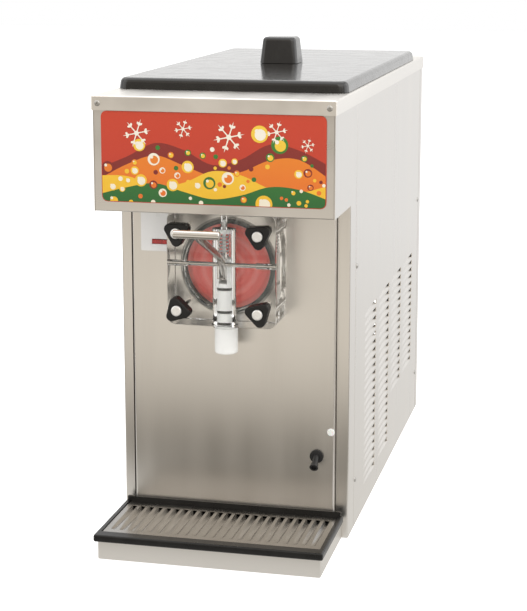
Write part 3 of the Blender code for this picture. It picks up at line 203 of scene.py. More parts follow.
def grain(tree, scale, detail=2.0, distortion=0.0):
    """Noise in the piece's own coordinates, per metre; a triple of scales stretches it along the smallest."""
    scale = scale if isinstance(scale, (list, tuple)) else (scale, scale, scale)
    where = add(tree, "TexCoord").outputs["Object"]
    mapped = add(tree, "Mapping", {"Vector": where, "Scale": scale}).outputs["Vector"]
    values = {"Vector": mapped, "Scale": 1.0, "Detail": detail, "Distortion": distortion}
    return add(tree, "TexNoise", values).outputs["Fac"]


def spread(tree, value, low, high, low_from=0.3, high_from=0.7):
    """Maps a value's middle range onto low to high."""
    values = {"Value": value, "From Min": low_from, "From Max": high_from, "To Min": low, "To Max": high}
    return add(tree, "MapRange", values).outputs["Result"]


def blend_color(tree, factor, first, second):
    """Goes from the first colour to the second; each is a socket or red, green and blue."""
    first, second = (c if isinstance(c, bpy.types.NodeSocket) else (*c, 1) for c in (first, second))
    return add(tree, "Mix", {0: factor, 6: first, 7: second}, data_type="RGBA").outputs[2]


def mottle(tree, value, tone, low, high):
    """A tone that goes from one share of itself to another over a value's middle range."""
    return blend_color(tree, spread(tree, value, 0, 1), shade(tone, low), shade(tone, high))


def feed(tree, shader, color, roughness=None):
    tree.links.new(color, shader.inputs["Base Color"])
    if roughness:
        tree.links.new(roughness, shader.inputs["Roughness"])


def relief(tree, shader, height, depth):
    """Bump of a real depth, from a height of 0 to 1."""
    made = add(tree, "Bump", {"Height": height, "Distance": depth})
    tree.links.new(made.outputs["Normal"], shader.inputs["Normal"])


def shade(color, factor):
    return tuple(min(1, channel * factor) for channel in color)


# Materials


def made_once(maker):
    """Finds a finish by its name, which comes first, and makes it where there is none yet."""

    def find_or_make(name, *values, **more):
        return bpy.data.materials.get(name) or maker(name, *values, **more)

    find_or_make.__doc__ = maker.__doc__
    return find_or_make


@made_once
def brushed_steel(name, grain_along, roughness=0.3, painted_light_factor=1.0):
    """Stainless sheet: a hair-fine grain along one axis, under broad soft bands of the rolling."""
    tone = shade(setting("sheets", "steel"), painted_light_factor)
    made, tree, shader = new_shader(name, tone, roughness, 1.0, anisotropic=0.3)
    along = "XYZ".index(grain_along)
    hairs, bands = [1700] * 3, [26] * 3
    hairs[along], bands[along] = 11, 1.1
    hairs, bands = grain(tree, hairs), grain(tree, bands)
    color = mottle(tree, bands, tone, 0.955, 1.03)
    color = blend_color(tree, spread(tree, hairs, 0, 0.5), color, shade(tone, 0.96))
    feed(tree, shader, color, spread(tree, bands, roughness - 0.03, roughness + 0.04))
    relief(tree, shader, hairs, 0.0025 * MM)
    return made


def sheet_steel(grain_along):
    return brushed_steel("brushed_steel_" + grain_along.lower(), grain_along)


@made_once
def polished_steel(name):
    """Rod and fastener steel with faint turning marks."""
    tone = (0.63, 0.61, 0.58)
    made, tree, shader = new_shader(name, tone, 0.16, 1.0)
    marks, smears = grain(tree, 900), grain(tree, 40, 3)
    feed(tree, shader, mottle(tree, smears, tone, 0.94, 1.03), spread(tree, smears, 0.12, 0.22))
    relief(tree, shader, marks, 0.004 * MM)
    return made


def bright_steel():
    return polished_steel("bright_steel")


@made_once
def moulded_black(name, roughness, texture=0.05 * MM, cells=900, tone=(0.016, 0.0155, 0.0155), coat=0.0):
    """Black moulded plastic with a fine pebbled surface and faint rubbing."""
    made, tree, shader = new_shader(
        name, tone, roughness, specular_ior_level=0.32 - 0.25 * coat, coat_weight=coat, coat_roughness=0.12
    )
    where = add(tree, "TexCoord").outputs["Object"]
    pebbles = add(tree, "TexVoronoi", {"Vector": where, "Scale": cells}).outputs["Distance"]
    rubbing = grain(tree, 30, 4, 0.4)
    color = blend_color(tree, spread(tree, rubbing, 0, 1, 0.45, 0.75), tone, shade(tone, 1.7))
    feed(tree, shader, color, spread(tree, rubbing, roughness - 0.04, roughness + 0.08))
    relief(tree, shader, pebbles, texture)
    return made


@made_once
def white_resin(name, tone=(0.93, 0.92, 0.9), roughness=0.3):
    """Machined white plastic, a little translucent, with fine tool marks."""
    made, tree, shader = new_shader(name, tone, roughness, subsurface_weight=0.12, subsurface_scale=2 * MM)
    marks, soft = grain(tree, (60, 60, 1500)), grain(tree, 35, 3)
    wear = spread(tree, marks, roughness - 0.05, roughness + 0.08)
    feed(tree, shader, mottle(tree, soft, tone, 0.965, 1), wear)
    relief(tree, shader, marks, 0.01 * MM)
    return made


@made_once
def clear_acrylic(name):
    """Cast clear block, with the slight haze of washing in its surface; lamps light what it holds."""
    made, tree, shader = new_shader(name, (0.985, 0.99, 0.99), 0.0, transmission_weight=1.0, ior=1.49)
    haze = grain(tree, 25, 4, 0.3)
    tree.links.new(spread(tree, haze, 0.0, 0.02, 0.4, 0.8), shader.inputs["Roughness"])
    through = add(tree, "BsdfTransparent", {"Color": (0.94, 0.95, 0.95, 1)})
    shadow = add(tree, "LightPath").outputs["Is Shadow Ray"]
    passing = add(tree, "MixShader", {0: shadow, 1: shader.outputs[0], 2: through.outputs[0]})
    tree.links.new(passing.outputs[0], tree.nodes["Material Output"].inputs["Surface"])
    return made


@made_once
def soft_rubber(name, tone, roughness=0.62):
    """Moulded rubber with a faint bloom."""
    made, tree, shader = new_shader(name, tone, roughness)
    bloom = grain(tree, 90, 4)
    feed(tree, shader, mottle(tree, bloom, tone, 1, 1.5))
    relief(tree, shader, bloom, 0.03 * MM)
    return made


@made_once
def frozen_drink_ice(name):
    """Wet ice of the drink: soft paler bands where the beater sweeps, with fine crystals."""
    tone = setting("head", "drink")
    made, tree, shader = new_shader(name, tone, 0.35, subsurface_weight=0.15, subsurface_scale=2 * MM)
    shader.inputs["Subsurface Radius"].default_value = (1.0, 0.3, 0.25)
    where = add(tree, "TexCoord").outputs["Object"]
    centred = add(tree, "VectorMath", {0: where, 1: tuple(BARREL)}, operation="SUBTRACT").outputs[0]
    flat = add(tree, "VectorMath", {0: centred, 1: (1, 0, 1)}, operation="MULTIPLY").outputs[0]
    radius = add(tree, "VectorMath", {0: flat}, operation="LENGTH").outputs["Value"]
    wobble = grain(tree, 16, 2, 0.4)
    shifted = add(tree, "Math", {0: wobble, 1: 12 * MM, 2: radius}, operation="MULTIPLY_ADD").outputs[0]
    swings_per_metre = 330.0
    rings = add(tree, "Math", {0: shifted, 1: swings_per_metre}, operation="MULTIPLY").outputs[0]
    wave = add(tree, "Math", {0: rings}, operation="SINE").outputs[0]
    crystals = grain(tree, 520, 3)
    color = blend_color(tree, spread(tree, wave, 0, 0.6, 0.0, 1.0), tone, (0.9, 0.25, 0.21))
    color = blend_color(tree, spread(tree, crystals, 0, 0.12, 0.5, 0.8), color, (0.78, 0.36, 0.33))
    feed(tree, shader, color, spread(tree, crystals, 0.26, 0.44))
    relief(tree, shader, crystals, 0.08 * MM)
    return made


@made_once
def printed_ink(name, tone, top_tone):
    """Gloss print: a tone that runs into another up the panel, with a halftone's faint grain."""
    made, tree, shader = new_shader(name, tone, 0.3, coat_weight=0.15, coat_roughness=0.1)
    where = add(tree, "TexCoord").outputs["Object"]
    height = add(tree, "SeparateXYZ", {0: where}).outputs["Z"]
    foot, top = 476 * MM, 594 * MM
    color = blend_color(tree, spread(tree, height, 0, 1, foot, top), tone, top_tone)
    dots = grain(tree, 1500, 1)
    feed(tree, shader, blend_color(tree, spread(tree, dots, 0, 0.12), color, shade(tone, 1.3)))
    relief(tree, shader, dots, 0.006 * MM)
    return made


@made_once
def lens_plastic(name):
    """Deep red clear plastic, moulded with upright ribs."""
    made, tree, shader = new_shader(name, (0.42, 0.012, 0.012), 0.14, coat_weight=0.5)
    ribs = grain(tree, (900, 1, 1), 0)
    feed(tree, shader, blend_color(tree, spread(tree, ribs, 0, 1), (0.30, 0.008, 0.008), (0.52, 0.02, 0.018)))
    relief(tree, shader, ribs, 0.05 * MM)
    return made


@made_once
def plain_finish(name, tone, roughness, metallic=0.0, cells=60.0, depth=0.02 * MM, contrast=0.15):
    """Paint, cast or moulded surfaces that are hidden or small: mottled tone and a fine relief."""
    made, tree, shader = new_shader(name, tone, roughness, metallic)
    clouds = grain(tree, cells, 4)
    color = mottle(tree, clouds, tone, 1 - contrast, 1 + contrast)
    feed(tree, shader, color, spread(tree, clouds, roughness - 0.06, roughness + 0.08))
    relief(tree, shader, clouds, depth)
    return made


@made_once
def turned_aluminium(name):
    """Cap faces with the streaks of the turning tool."""
    tone = (0.90, 0.895, 0.88)
    made, tree, shader = new_shader(name, tone, 0.38, 0.85)
    streaks = grain(tree, (1400, 20, 1400))
    feed(tree, shader, mottle(tree, streaks, tone, 0.88, 1.05))
    relief(tree, shader, streaks, 0.01 * MM)
    return made


# Mesh building, in the row's own coordinates


def in_mm(pairs):
    return [(first * MM, second * MM) for first, second in pairs]


def form(shape_into, *values, **more):
    """A new mesh with one shape in it."""
    bm = bmesh.new()
    shape_into(bm, *values, **more)
    return bm


def box_into(bm, low, high):
    low, high = Vector(low), Vector(high)
    place = Matrix.Translation((low + high) / 2) @ Matrix.Diagonal((*(high - low), 1))
    bmesh.ops.create_cube(bm, size=1, matrix=place)


def rod_into(bm, start, end, radius, segments=48):
    start, end = Vector(start), Vector(end)
    turn = (end - start).to_track_quat("Z", "Y").to_matrix().to_4x4()
    bmesh.ops.create_cone(
        bm,
        cap_ends=True,
        segments=segments,
        radius1=radius,
        radius2=radius,
        depth=(end - start).length,
        matrix=Matrix.Translation((start + end) / 2) @ turn,
    )


def fillet(points, radius, steps=4, closed=False):
    """Rounds a polyline's corners; a corner shrinks where its sides are short."""
    points = [Vector(p) for p in points]
    count = len(points)
    rounded = []
    for i, corner in enumerate(points):
        if not closed and i in (0, count - 1):
            rounded.append(corner)
            continue
        back, ahead = points[i - 1] - corner, points[(i + 1) % count] - corner
        reach = min(radius, 0.45 * back.length, 0.45 * ahead.length)
        start, end = corner + back.normalized() * reach, corner + ahead.normalized() * reach
        for k in range(steps + 1):
            t = k / steps
            rounded.append(start * (1 - t) ** 2 + corner * 2 * t * (1 - t) + end * t * t)
    return rounded


def rounded_rectangle(low_u, low_v, high_u, high_v, radius, steps=10):
    corners = [(low_u, low_v), (high_u, low_v), (high_u, high_v), (low_u, high_v)]
    return fillet(corners, radius, steps, closed=True)


def circle(centre, radius, count=28):
    angles = (2 * math.pi * k / count for k in range(count))
    return [(centre[0] + radius * math.cos(a), centre[1] + radius * math.sin(a)) for a in angles]


def smooth_path(points, steps):
    """Points on a Catmull-Rom curve through the given points."""
    points = [Vector(p) for p in points]
    ends = [points[0]] + points + [points[-1]]
    path = []
    for i in range(len(points) - 1):
        a, b, c, d = ends[i : i + 4]
        for k in range(steps):
            t = k / steps
            cubic = (c - a) * t + (2 * a - 5 * b + 4 * c - d) * t**2 + (3 * b - a - 3 * c + d) * t**3
            path.append(0.5 * (2 * b + cubic))
    path.append(points[-1])
    return path


def lathe_into(bm, profile, origin, along=UP, segments=64):
    """Turns (radius, height) pairs round the axis `along` through origin."""
    turn = Vector(along).to_track_quat("Z", "Y").to_matrix()
    verts = [bm.verts.new(Vector(origin) + turn @ Vector((p[0], 0, p[1]))) for p in profile]
    edges = [bm.edges.new(pair) for pair in zip(verts, verts[1:])]
    axis = turn @ Vector(UP)
    bmesh.ops.spin(bm, geom=verts + edges, cent=origin, axis=axis, angle=2 * math.pi, steps=segments)
    bmesh.ops.remove_doubles(bm, verts=bm.verts, dist=1e-6)


def slab_into(bm, outline, low, high, across):
    """A flat outline given thickness: pairs are (y, z) across X, (x, z) across Y and (x, y) across Z."""
    orders = {
        "X": lambda u, v, w: (w, u, v),
        "Y": lambda u, v, w: (u, w, v),
        "Z": lambda u, v, w: (u, v, w),
    }
    order = orders[across]
    face = bm.faces.new([bm.verts.new(order(p[0], p[1], low)) for p in outline])
    made = bmesh.ops.extrude_face_region(bm, geom=[face])["geom"]
    shift = Vector(order(0, 0, high - low))
    bmesh.ops.translate(bm, verts=[g for g in made if isinstance(g, bmesh.types.BMVert)], vec=shift)


def tube_into(bm, path, radius, segments=20):
    """A round bar along a path, closed at both ends."""
    path = [Vector(p) for p in path]
    ahead = [(b - a).normalized() for a, b in zip(path, path[1:])]
    tangents = [ahead[0]] + [(a + b).normalized() for a, b in zip(ahead, ahead[1:])] + [ahead[-1]]
    side = tangents[0].orthogonal().normalized()
    rings = []
    for point, tangent in zip(path, tangents):
        side = (side - tangent * side.dot(tangent)).normalized()
        other = tangent.cross(side)
        angles = (2 * math.pi * k / segments for k in range(segments))
        ways = [side * math.cos(a) + other * math.sin(a) for a in angles]
        rings.append([bm.verts.new(point + way * radius) for way in ways])
    for near, far in zip(rings, rings[1:]):
        for k in range(segments):
            n = (k + 1) % segments
            bm.faces.new((near[k], near[n], far[n], far[k]))
    bm.faces.new(rings[0])
    bm.faces.new(rings[-1][::-1])


def new_object(name, bm, material, recalculate=True):
    if recalculate:
        bmesh.ops.recalc_face_normals(bm, faces=bm.faces)
    mesh = bpy.data.meshes.new(name)
    bm.to_mesh(mesh)
    bm.free()
    obj = bpy.data.objects.new(name, mesh)
    bpy.context.scene.collection.objects.link(obj)
    obj.data.materials.append(material)
    return obj


def turned(name, profile, origin, along, segments, material):
    """A piece turned from a profile of (radius, height) pairs."""
    return new_object(name, form(lathe_into, profile, origin, along, segments), material)


def settle(obj, kind=None, **values):
    """Makes the modifiers' result the piece's own mesh, after adding a modifier where one is named."""
    if kind:
        step = obj.modifiers.new(kind, kind)
        for key, value in values.items():
            setattr(step, key, value)
    bpy.context.view_layer.update()
    mesh = bpy.data.meshes.new_from_object(obj.evaluated_get(bpy.context.evaluated_depsgraph_get()))
    obj.modifiers.clear()
    obj.data = mesh
    return obj


def combine(obj, operation, tool):
    """Cuts obj with a closed form, joins it or keeps what they share; the form is used up."""
    if isinstance(tool, bmesh.types.BMesh):
        tool = new_object("tool", tool, obj.data.materials[0])
    settle(obj, "BOOLEAN", operation=operation, solver="EXACT", object=tool)
    bpy.data.objects.remove(tool)
    return obj


def cut(obj, tool):
    return combine(obj, "DIFFERENCE", tool)


def join(obj, tool):
    return combine(obj, "UNION", tool)


def rounded_edges(obj, width, segments=3, degrees=35):
    limit = math.radians(degrees)
    return settle(obj, "BEVEL", width=width, segments=segments, limit_method="ANGLE", angle_limit=limit)


def finish_piece(obj, body, *nodes, degrees=32, slot=None):
    """Shades a piece, lets it ride on its body and stand for its CAD nodes."""
    obj.data.shade_smooth()
    obj.data.set_sharp_from_angle(angle=math.radians(degrees))
    settle(obj, "WEIGHTED_NORMAL", keep_sharp=True)
    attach(obj, body)
    if nodes:
        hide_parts(*nodes)
    return obj


def dress(node, material):
    """Gives a CAD node that stays in view its finish."""
    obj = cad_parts[node]
    obj.data.materials.clear()
    obj.data.materials.append(material)


# Folded and pressed sheet


def folded_sheet(name, faces, material, bend=None, facing=None):
    """Sheet from flat faces (lists of corners) that share edges, bent where they meet and given a wall.

    facing is the way that the first face looks, where the sheet is too open to tell.
    """
    bm = bmesh.new()
    corners = {}
    for face in faces:
        keys = [tuple(round(c, 7) for c in corner) for corner in face]
        for key in keys:
            if key not in corners:
                corners[key] = bm.verts.new(key)
        bm.faces.new([corners[key] for key in keys])
    bmesh.ops.recalc_face_normals(bm, faces=bm.faces)
    bm.faces.ensure_lookup_table()
    if facing and bm.faces[0].normal.dot(Vector(facing)) < 0:
        bmesh.ops.reverse_faces(bm, faces=bm.faces)
    bends = [e for e in bm.edges if len(e.link_faces) == 2 and e.calc_face_angle() > 0.5]
    radius = bend or setting("sheets", "bend")
    bmesh.ops.bevel(bm, geom=bends, offset=radius, segments=5, profile=0.5, affect="EDGES")
    obj = new_object(name, bm, material, recalculate=False)
    return settle(obj, "SOLIDIFY", thickness=SHEET, offset=-1, use_even_offset=True)


def tray_faces(node, missing):
    """The faces of a node's box, less the open sides, such as '-z'."""
    (x0, y0, z0), (x1, y1, z1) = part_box(node)
    faces = {
        "-x": [(x0, y0, z0), (x0, y0, z1), (x0, y1, z1), (x0, y1, z0)],
        "+x": [(x1, y0, z0), (x1, y1, z0), (x1, y1, z1), (x1, y0, z1)],
        "-y": [(x0, y0, z0), (x1, y0, z0), (x1, y0, z1), (x0, y0, z1)],
        "+y": [(x0, y1, z0), (x0, y1, z1), (x1, y1, z1), (x1, y1, z0)],
        "-z": [(x0, y0, z0), (x0, y1, z0), (x1, y1, z0), (x1, y0, z0)],
        "+z": [(x0, y0, z1), (x1, y0, z1), (x1, y1, z1), (x0, y1, z1)],
    }
    return [face for side, face in faces.items() if side not in missing]


def pressed_sheet(name, outline, channels, shape, to_point, thickness, material, roll=0.0):
    """A sheet with channels pressed in, each sloping down from its front end to an open rear end.

    outline is (low u, low v, high u, high v), u running along the channels; channels hold (u of the
    rear end, v of the middle); shape is (length, width, depth, share of the depth at the front end);
    to_point turns (u, v, depth) to a point; roll is the radius of the turned-in ends of the sheet.
    """
    length, width, depth, start = shape
    ramp = (0.0, 0.015, 0.04, 0.09, 0.2, 0.45, 0.75, 1.0)
    full_width_at = ramp[3]
    turns = (1.0, 0.97, 0.88, 0.7, 0.4, 0.0) if roll else ()
    section = (-1, -0.82, -0.5, -0.18, 0, 0.18, 0.5, 0.82, 1)
    softness = 0.16
    low_u, low_v, high_u, high_v = outline

    def key(value):
        return round(value, 7)

    def pressed(s):
        return (math.hypot(1, softness) - math.hypot(s, softness)) / (math.hypot(1, softness) - softness)

    us = {key(low_u), key(high_u)} | {key(rear - length * (1 - t)) for rear, _ in channels for t in ramp}
    rolled = {}
    for t in turns:
        dip = roll * (1 - math.sqrt(1 - t * t))
        rolled[key(low_u + roll * (1 - t))] = rolled[key(high_u - roll * (1 - t))] = dip
    us |= set(rolled)
    vs = {key(low_v), key(high_v)} | {key(v + s * width / 2) for _, v in channels for s in section}
    us, vs = sorted(us), sorted(vs)
    depths, open_ends = {}, {}
    for rear, middle in channels:
        for t in ramp:
            for s in section[1:-1]:
                where = key(rear - length * (1 - t)), key(middle + s * width / 2)
                dip = depth * pressed(s) * (start + (1 - start) * t) * min(1, math.sqrt(t / full_width_at))
                (open_ends if t == 1.0 else depths)[where] = dip
    bm = bmesh.new()
    sheet = {}
    for u in us:
        for v in vs:
            sheet[u, v] = bm.verts.new(to_point(u, v, depths.get((u, v), rolled.get(u, 0))))
    mouths = {(u, v): bm.verts.new(to_point(u, v, d)) for (u, v), d in open_ends.items()}
    for u, next_u in zip(us, us[1:]):
        for v, next_v in zip(vs, vs[1:]):
            mouth = any((next_u, w) in mouths and depths.get((u, w)) for w in (v, next_v))
            far = [sheet[next_u, w] for w in (v, next_v)]
            if mouth:
                far = [mouths.get((next_u, w), sheet[next_u, w]) for w in (v, next_v)]
            bm.faces.new((sheet[u, v], far[0], far[1], sheet[u, next_v]))
    obj = new_object(name, bm, material, recalculate=False)
    return settle(obj, "SOLIDIFY", thickness=thickness, offset=-1)


# Cabinet


def window_opening(near, far):
    """The box of the red window's opening, with the play round its lens."""
    low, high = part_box("indicator_lens")
    play = 0.6 * MM
    return (low.x - play, near, low.z - play), (high.x + play, far, high.z + play)


def make_side_panel(side):
    """A side sheet with its four columns of louvres."""
    name = "side_panel_" + ("left" if side < 0 else "right")
    low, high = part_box(name)
    outer = high.x if side > 0 else low.x
    pitch, depth = setting("sheets", "louvre_pitch"), setting("sheets", "louvre_depth")
    top, length, width, front_share = 290 * MM, 98 * MM, 8 * MM, 0.12
    columns = ((222, 22), (345, 22), (468, 16), (591, 16))
    channels = [
        (POSTS + rear * MM, top - width / 2 - row * pitch) for rear, rows in columns for row in range(rows)
    ]
    obj = pressed_sheet(
        name + "_sheet",
        (low.y, low.z, high.y, high.z),
        channels,
        (length, width, depth, front_share),
        lambda u, v, d: (outer - side * d, u, v),
        SHEET,
        sheet_steel("Z"),
        2.2 * MM,
    )
    if side < 0:
        obj.data.flip_normals()
    finish_piece(obj, "cabinet", name)


def make_cheek(side):
    """Header side and front post in one sheet, bent round the cabinet's front corner."""
    name = "cheek_" + ("left" if side < 0 else "right")
    low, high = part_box(name)
    gap, flange_width = 3.6 * MM, 4 * MM
    outer, inner = (low.x, high.x - gap) if side < 0 else (high.x, low.x)
    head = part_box("header_front")[0].z
    front, back = low.y, high.y
    wing = [
        (outer, front, head),
        (outer, POSTS, head),
        (outer, POSTS, low.z),
        (outer, back, low.z),
        (outer, back, high.z),
        (outer, front, high.z),
    ]
    post = [(outer, POSTS, low.z), (outer, POSTS, head), (inner, POSTS, head), (inner, POSTS, low.z)]
    inside = outer - side * flange_width
    flange = [(outer, back, low.z), (inside, back, low.z), (inside, back, high.z), (outer, back, high.z)]
    obj = folded_sheet(name + "_sheet", [wing, post, flange], sheet_steel("Z"), facing=(side, 0, 0))
    finish_piece(obj, "cabinet", name)


def make_front_panel():
    faces = tray_faces("front_panel", ("+y", "-z", "+z"))
    obj = folded_sheet("front_panel_sheet", faces, sheet_steel("Z"), 2.6 * MM)
    near, far = PANEL_FACE - 5 * MM, PANEL_FACE + 5 * MM
    holes = [(BARREL, 66.8 * MM, 96), (DRAIN, 4.6 * MM, 32), (PLUG, 4 * MM, 32), (SWITCH, SWITCH_HOLE, 32)]
    holes += [((x, 0, z), 4.5 * MM, 32) for x, z, _ in CORNERS.values()]
    tool = bmesh.new()
    for (x, _, z), radius, segments in holes:
        rod_into(tool, (x, near, z), (x, far, z), radius, segments)
    box_into(tool, *window_opening(near, far))
    finish_piece(cut(obj, tool), "cabinet", "front_panel")


def make_rear_panel():
    """The rear sheet with its rows of air slots and the gland's hole."""
    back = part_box("rear_panel")[1].y
    near, far = back - 5 * MM, back + 5 * MM
    obj = folded_sheet("rear_panel_sheet", tray_faces("rear_panel", ("-y", "-z", "+z")), sheet_steel("Z"))
    rows, pitch, slot_foot, slot_height, slot_half = 8, 20 * MM, 120 * MM, 6 * MM, 40 * MM
    tool = bmesh.new()
    for middle in (-58 * MM, 58 * MM):
        for row in range(rows):
            z = slot_foot + row * pitch
            slot = rounded_rectangle(middle - slot_half, z, middle + slot_half, z + slot_height, 2.6 * MM, 6)
            slab_into(tool, slot, near, far, "Y")
    gland_x, gland_z = -104 * MM, 52 * MM
    rod_into(tool, (gland_x, near, gland_z), (gland_x, far, gland_z), 9.2 * MM)
    finish_piece(cut(obj, tool), "cabinet", "rear_panel")


def make_top_panel():
    """The top flange, open over the hopper."""
    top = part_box("top_panel")[1].z
    # Painted light: the top flange's stainless is the sheet's tone made 1.16 times lighter, for the light it
    # catches.
    pale = brushed_steel("top_steel_y", "Y", 0.34, 1.16)
    obj = folded_sheet("top_panel_sheet", tray_faces("top_panel", ("-z",)), pale)
    hole = rounded_rectangle(-131 * MM, POSTS + 21 * MM, 131 * MM, POSTS + 551 * MM, 16 * MM)
    cut(obj, form(slab_into, hole, top - 8 * MM, top + 8 * MM, "Z"))
    finish_piece(obj, "cabinet", "top_panel")


def make_header_front():
    """The header's face, underside and rear lip, bent from one sheet."""
    low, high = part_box("header_front")
    lip = low.z + 14 * MM
    path = [(low.y, high.z), (low.y, low.z), (high.y, low.z), (high.y, lip)]
    faces = [
        [(low.x, *near), (low.x, *far), (high.x, *far), (high.x, *near)] for near, far in zip(path, path[1:])
    ]
    finish_piece(folded_sheet("header_sheet", faces, sheet_steel("X")), "cabinet", "header_front")


def make_base_pan():
    obj = folded_sheet("base_pan_sheet", tray_faces("base_pan", ("+z",)), sheet_steel("X"))
    finish_piece(obj, "cabinet", "base_pan")


def make_screw(name, at, out):
    """A pan-head screw with a cross recess, lying on the sheet at `at` and facing `out`."""
    head = [(0, 1.7), (1.6, 1.65), (2.9, 1.3), (3.7, 0.6), (3.9, 0.1), (3.9, 0), (0, 0)]
    zinc = plain_finish("zinc", (0.42, 0.41, 0.39), 0.36, 0.95, 500, 0.01 * MM, 0.1)
    obj = turned(name, in_mm(head), (0, 0, 0), UP, 32, zinc)
    long, short, floor, above = 2 * MM, 0.4 * MM, 0.7 * MM, 4 * MM
    for half_x, half_y in ((long, short), (short, long)):
        cut(obj, form(box_into, (-half_x, -half_y, floor), (half_x, half_y, above)))
    turn = Vector(out).to_track_quat("Z", "Y").to_matrix().to_4x4()
    obj.matrix_world = Matrix.Translation(at) @ turn @ Matrix.Rotation(math.radians(35), 4, "Z")
    finish_piece(obj, "cabinet", slot="plated_steel")


class DISPENSER_OT_cabinet(bpy.types.Operator):
    """Builds the cabinet's folded and louvred sheets"""

    bl_idname = "dispenser.cabinet"
    bl_label = "Cabinet"

    def execute(self, context):
        for side in (-1, 1):
            make_side_panel(side)
            make_cheek(side)
        make_front_panel()
        make_rear_panel()
        make_top_panel()
        make_header_front()
        make_base_pan()
        for node in ("bottom_pan", "machine_deck", "hopper"):
            dress(node, sheet_steel("Y"))
        return {"FINISHED"}


class DISPENSER_OT_screws(bpy.types.Operator):
    """Sets the screws of the header and the side sheets"""

    bl_idname = "dispenser.screws"
    bl_label = "Screws"

    def execute(self, context):
        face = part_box("top_panel")[0].y
        side_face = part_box("side_panel_right")[1].x
        for side, word in ((-1, "left"), (1, "right")):
            make_screw("header_screw_" + word, (side * 152 * MM, face, 603.5 * MM), FORWARD)
            for end, depth in (("front", 51 * MM), ("rear", 647 * MM)):
                for level, height in (("upper", 372 * MM), ("lower", 68 * MM)):
                    at = (side * side_face, POSTS + depth, height)
                    make_screw(f"side_screw_{end}_{level}_{word}", at, (side, 0, 0))
        return {"FINISHED"}


# Printed panel


def wave_outline(heights, low_u, high_u, base):
    """A band from `base` up to a soft wave that passes the given heights at even spacing."""
    step = (high_u - low_u) / (len(heights) - 1)
    top = smooth_path([(low_u + step * i, height, 0) for i, height in enumerate(heights)], 6)
    return [(p.x, p.y) for p in top] + [(high_u, base), (low_u, base)]


def ice_star(centre, radius):
    """Outline of a six-armed ice crystal with forked tips."""
    half_arm = [(0.16, 0.5), (0.55, 0.42), (0.66, 2.5), (0.78, 2.2), (0.74, 0.4)]
    arm = [(along, -across) for along, across in half_arm] + [(1, 0)] + half_arm[::-1]
    across_size = 0.08 * radius
    points = []
    for k in range(6):
        turn = math.radians(60 * k + 12)
        for along, across in arm:
            u, v = along * radius, across * across_size
            points.append((
                centre[0] + u * math.cos(turn) - v * math.sin(turn),
                centre[1] + u * math.sin(turn) + v * math.cos(turn),
            ))
    return points


def print_layer(name, outlines, level, material):
    """Flat printed shapes, kept inside the panel's rounded frame, one ink film proud of the layer below."""
    low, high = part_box("graphic_panel")
    film, margin = 0.05 * MM, 1 * MM
    front = low.y - film * level
    bm = bmesh.new()
    for outline in outlines:
        slab_into(bm, outline, front, low.y + 0.2 * MM, "Y")
    obj = new_object(name, bm, material)
    border = rounded_rectangle(low.x + margin, low.z + margin, high.x - margin, high.z - margin, 8 * MM)
    combine(obj, "INTERSECT", form(slab_into, border, front - 1 * MM, low.y - 0.01 * MM, "Y"))
    finish_piece(obj, "cabinet", slot="graphic_print")


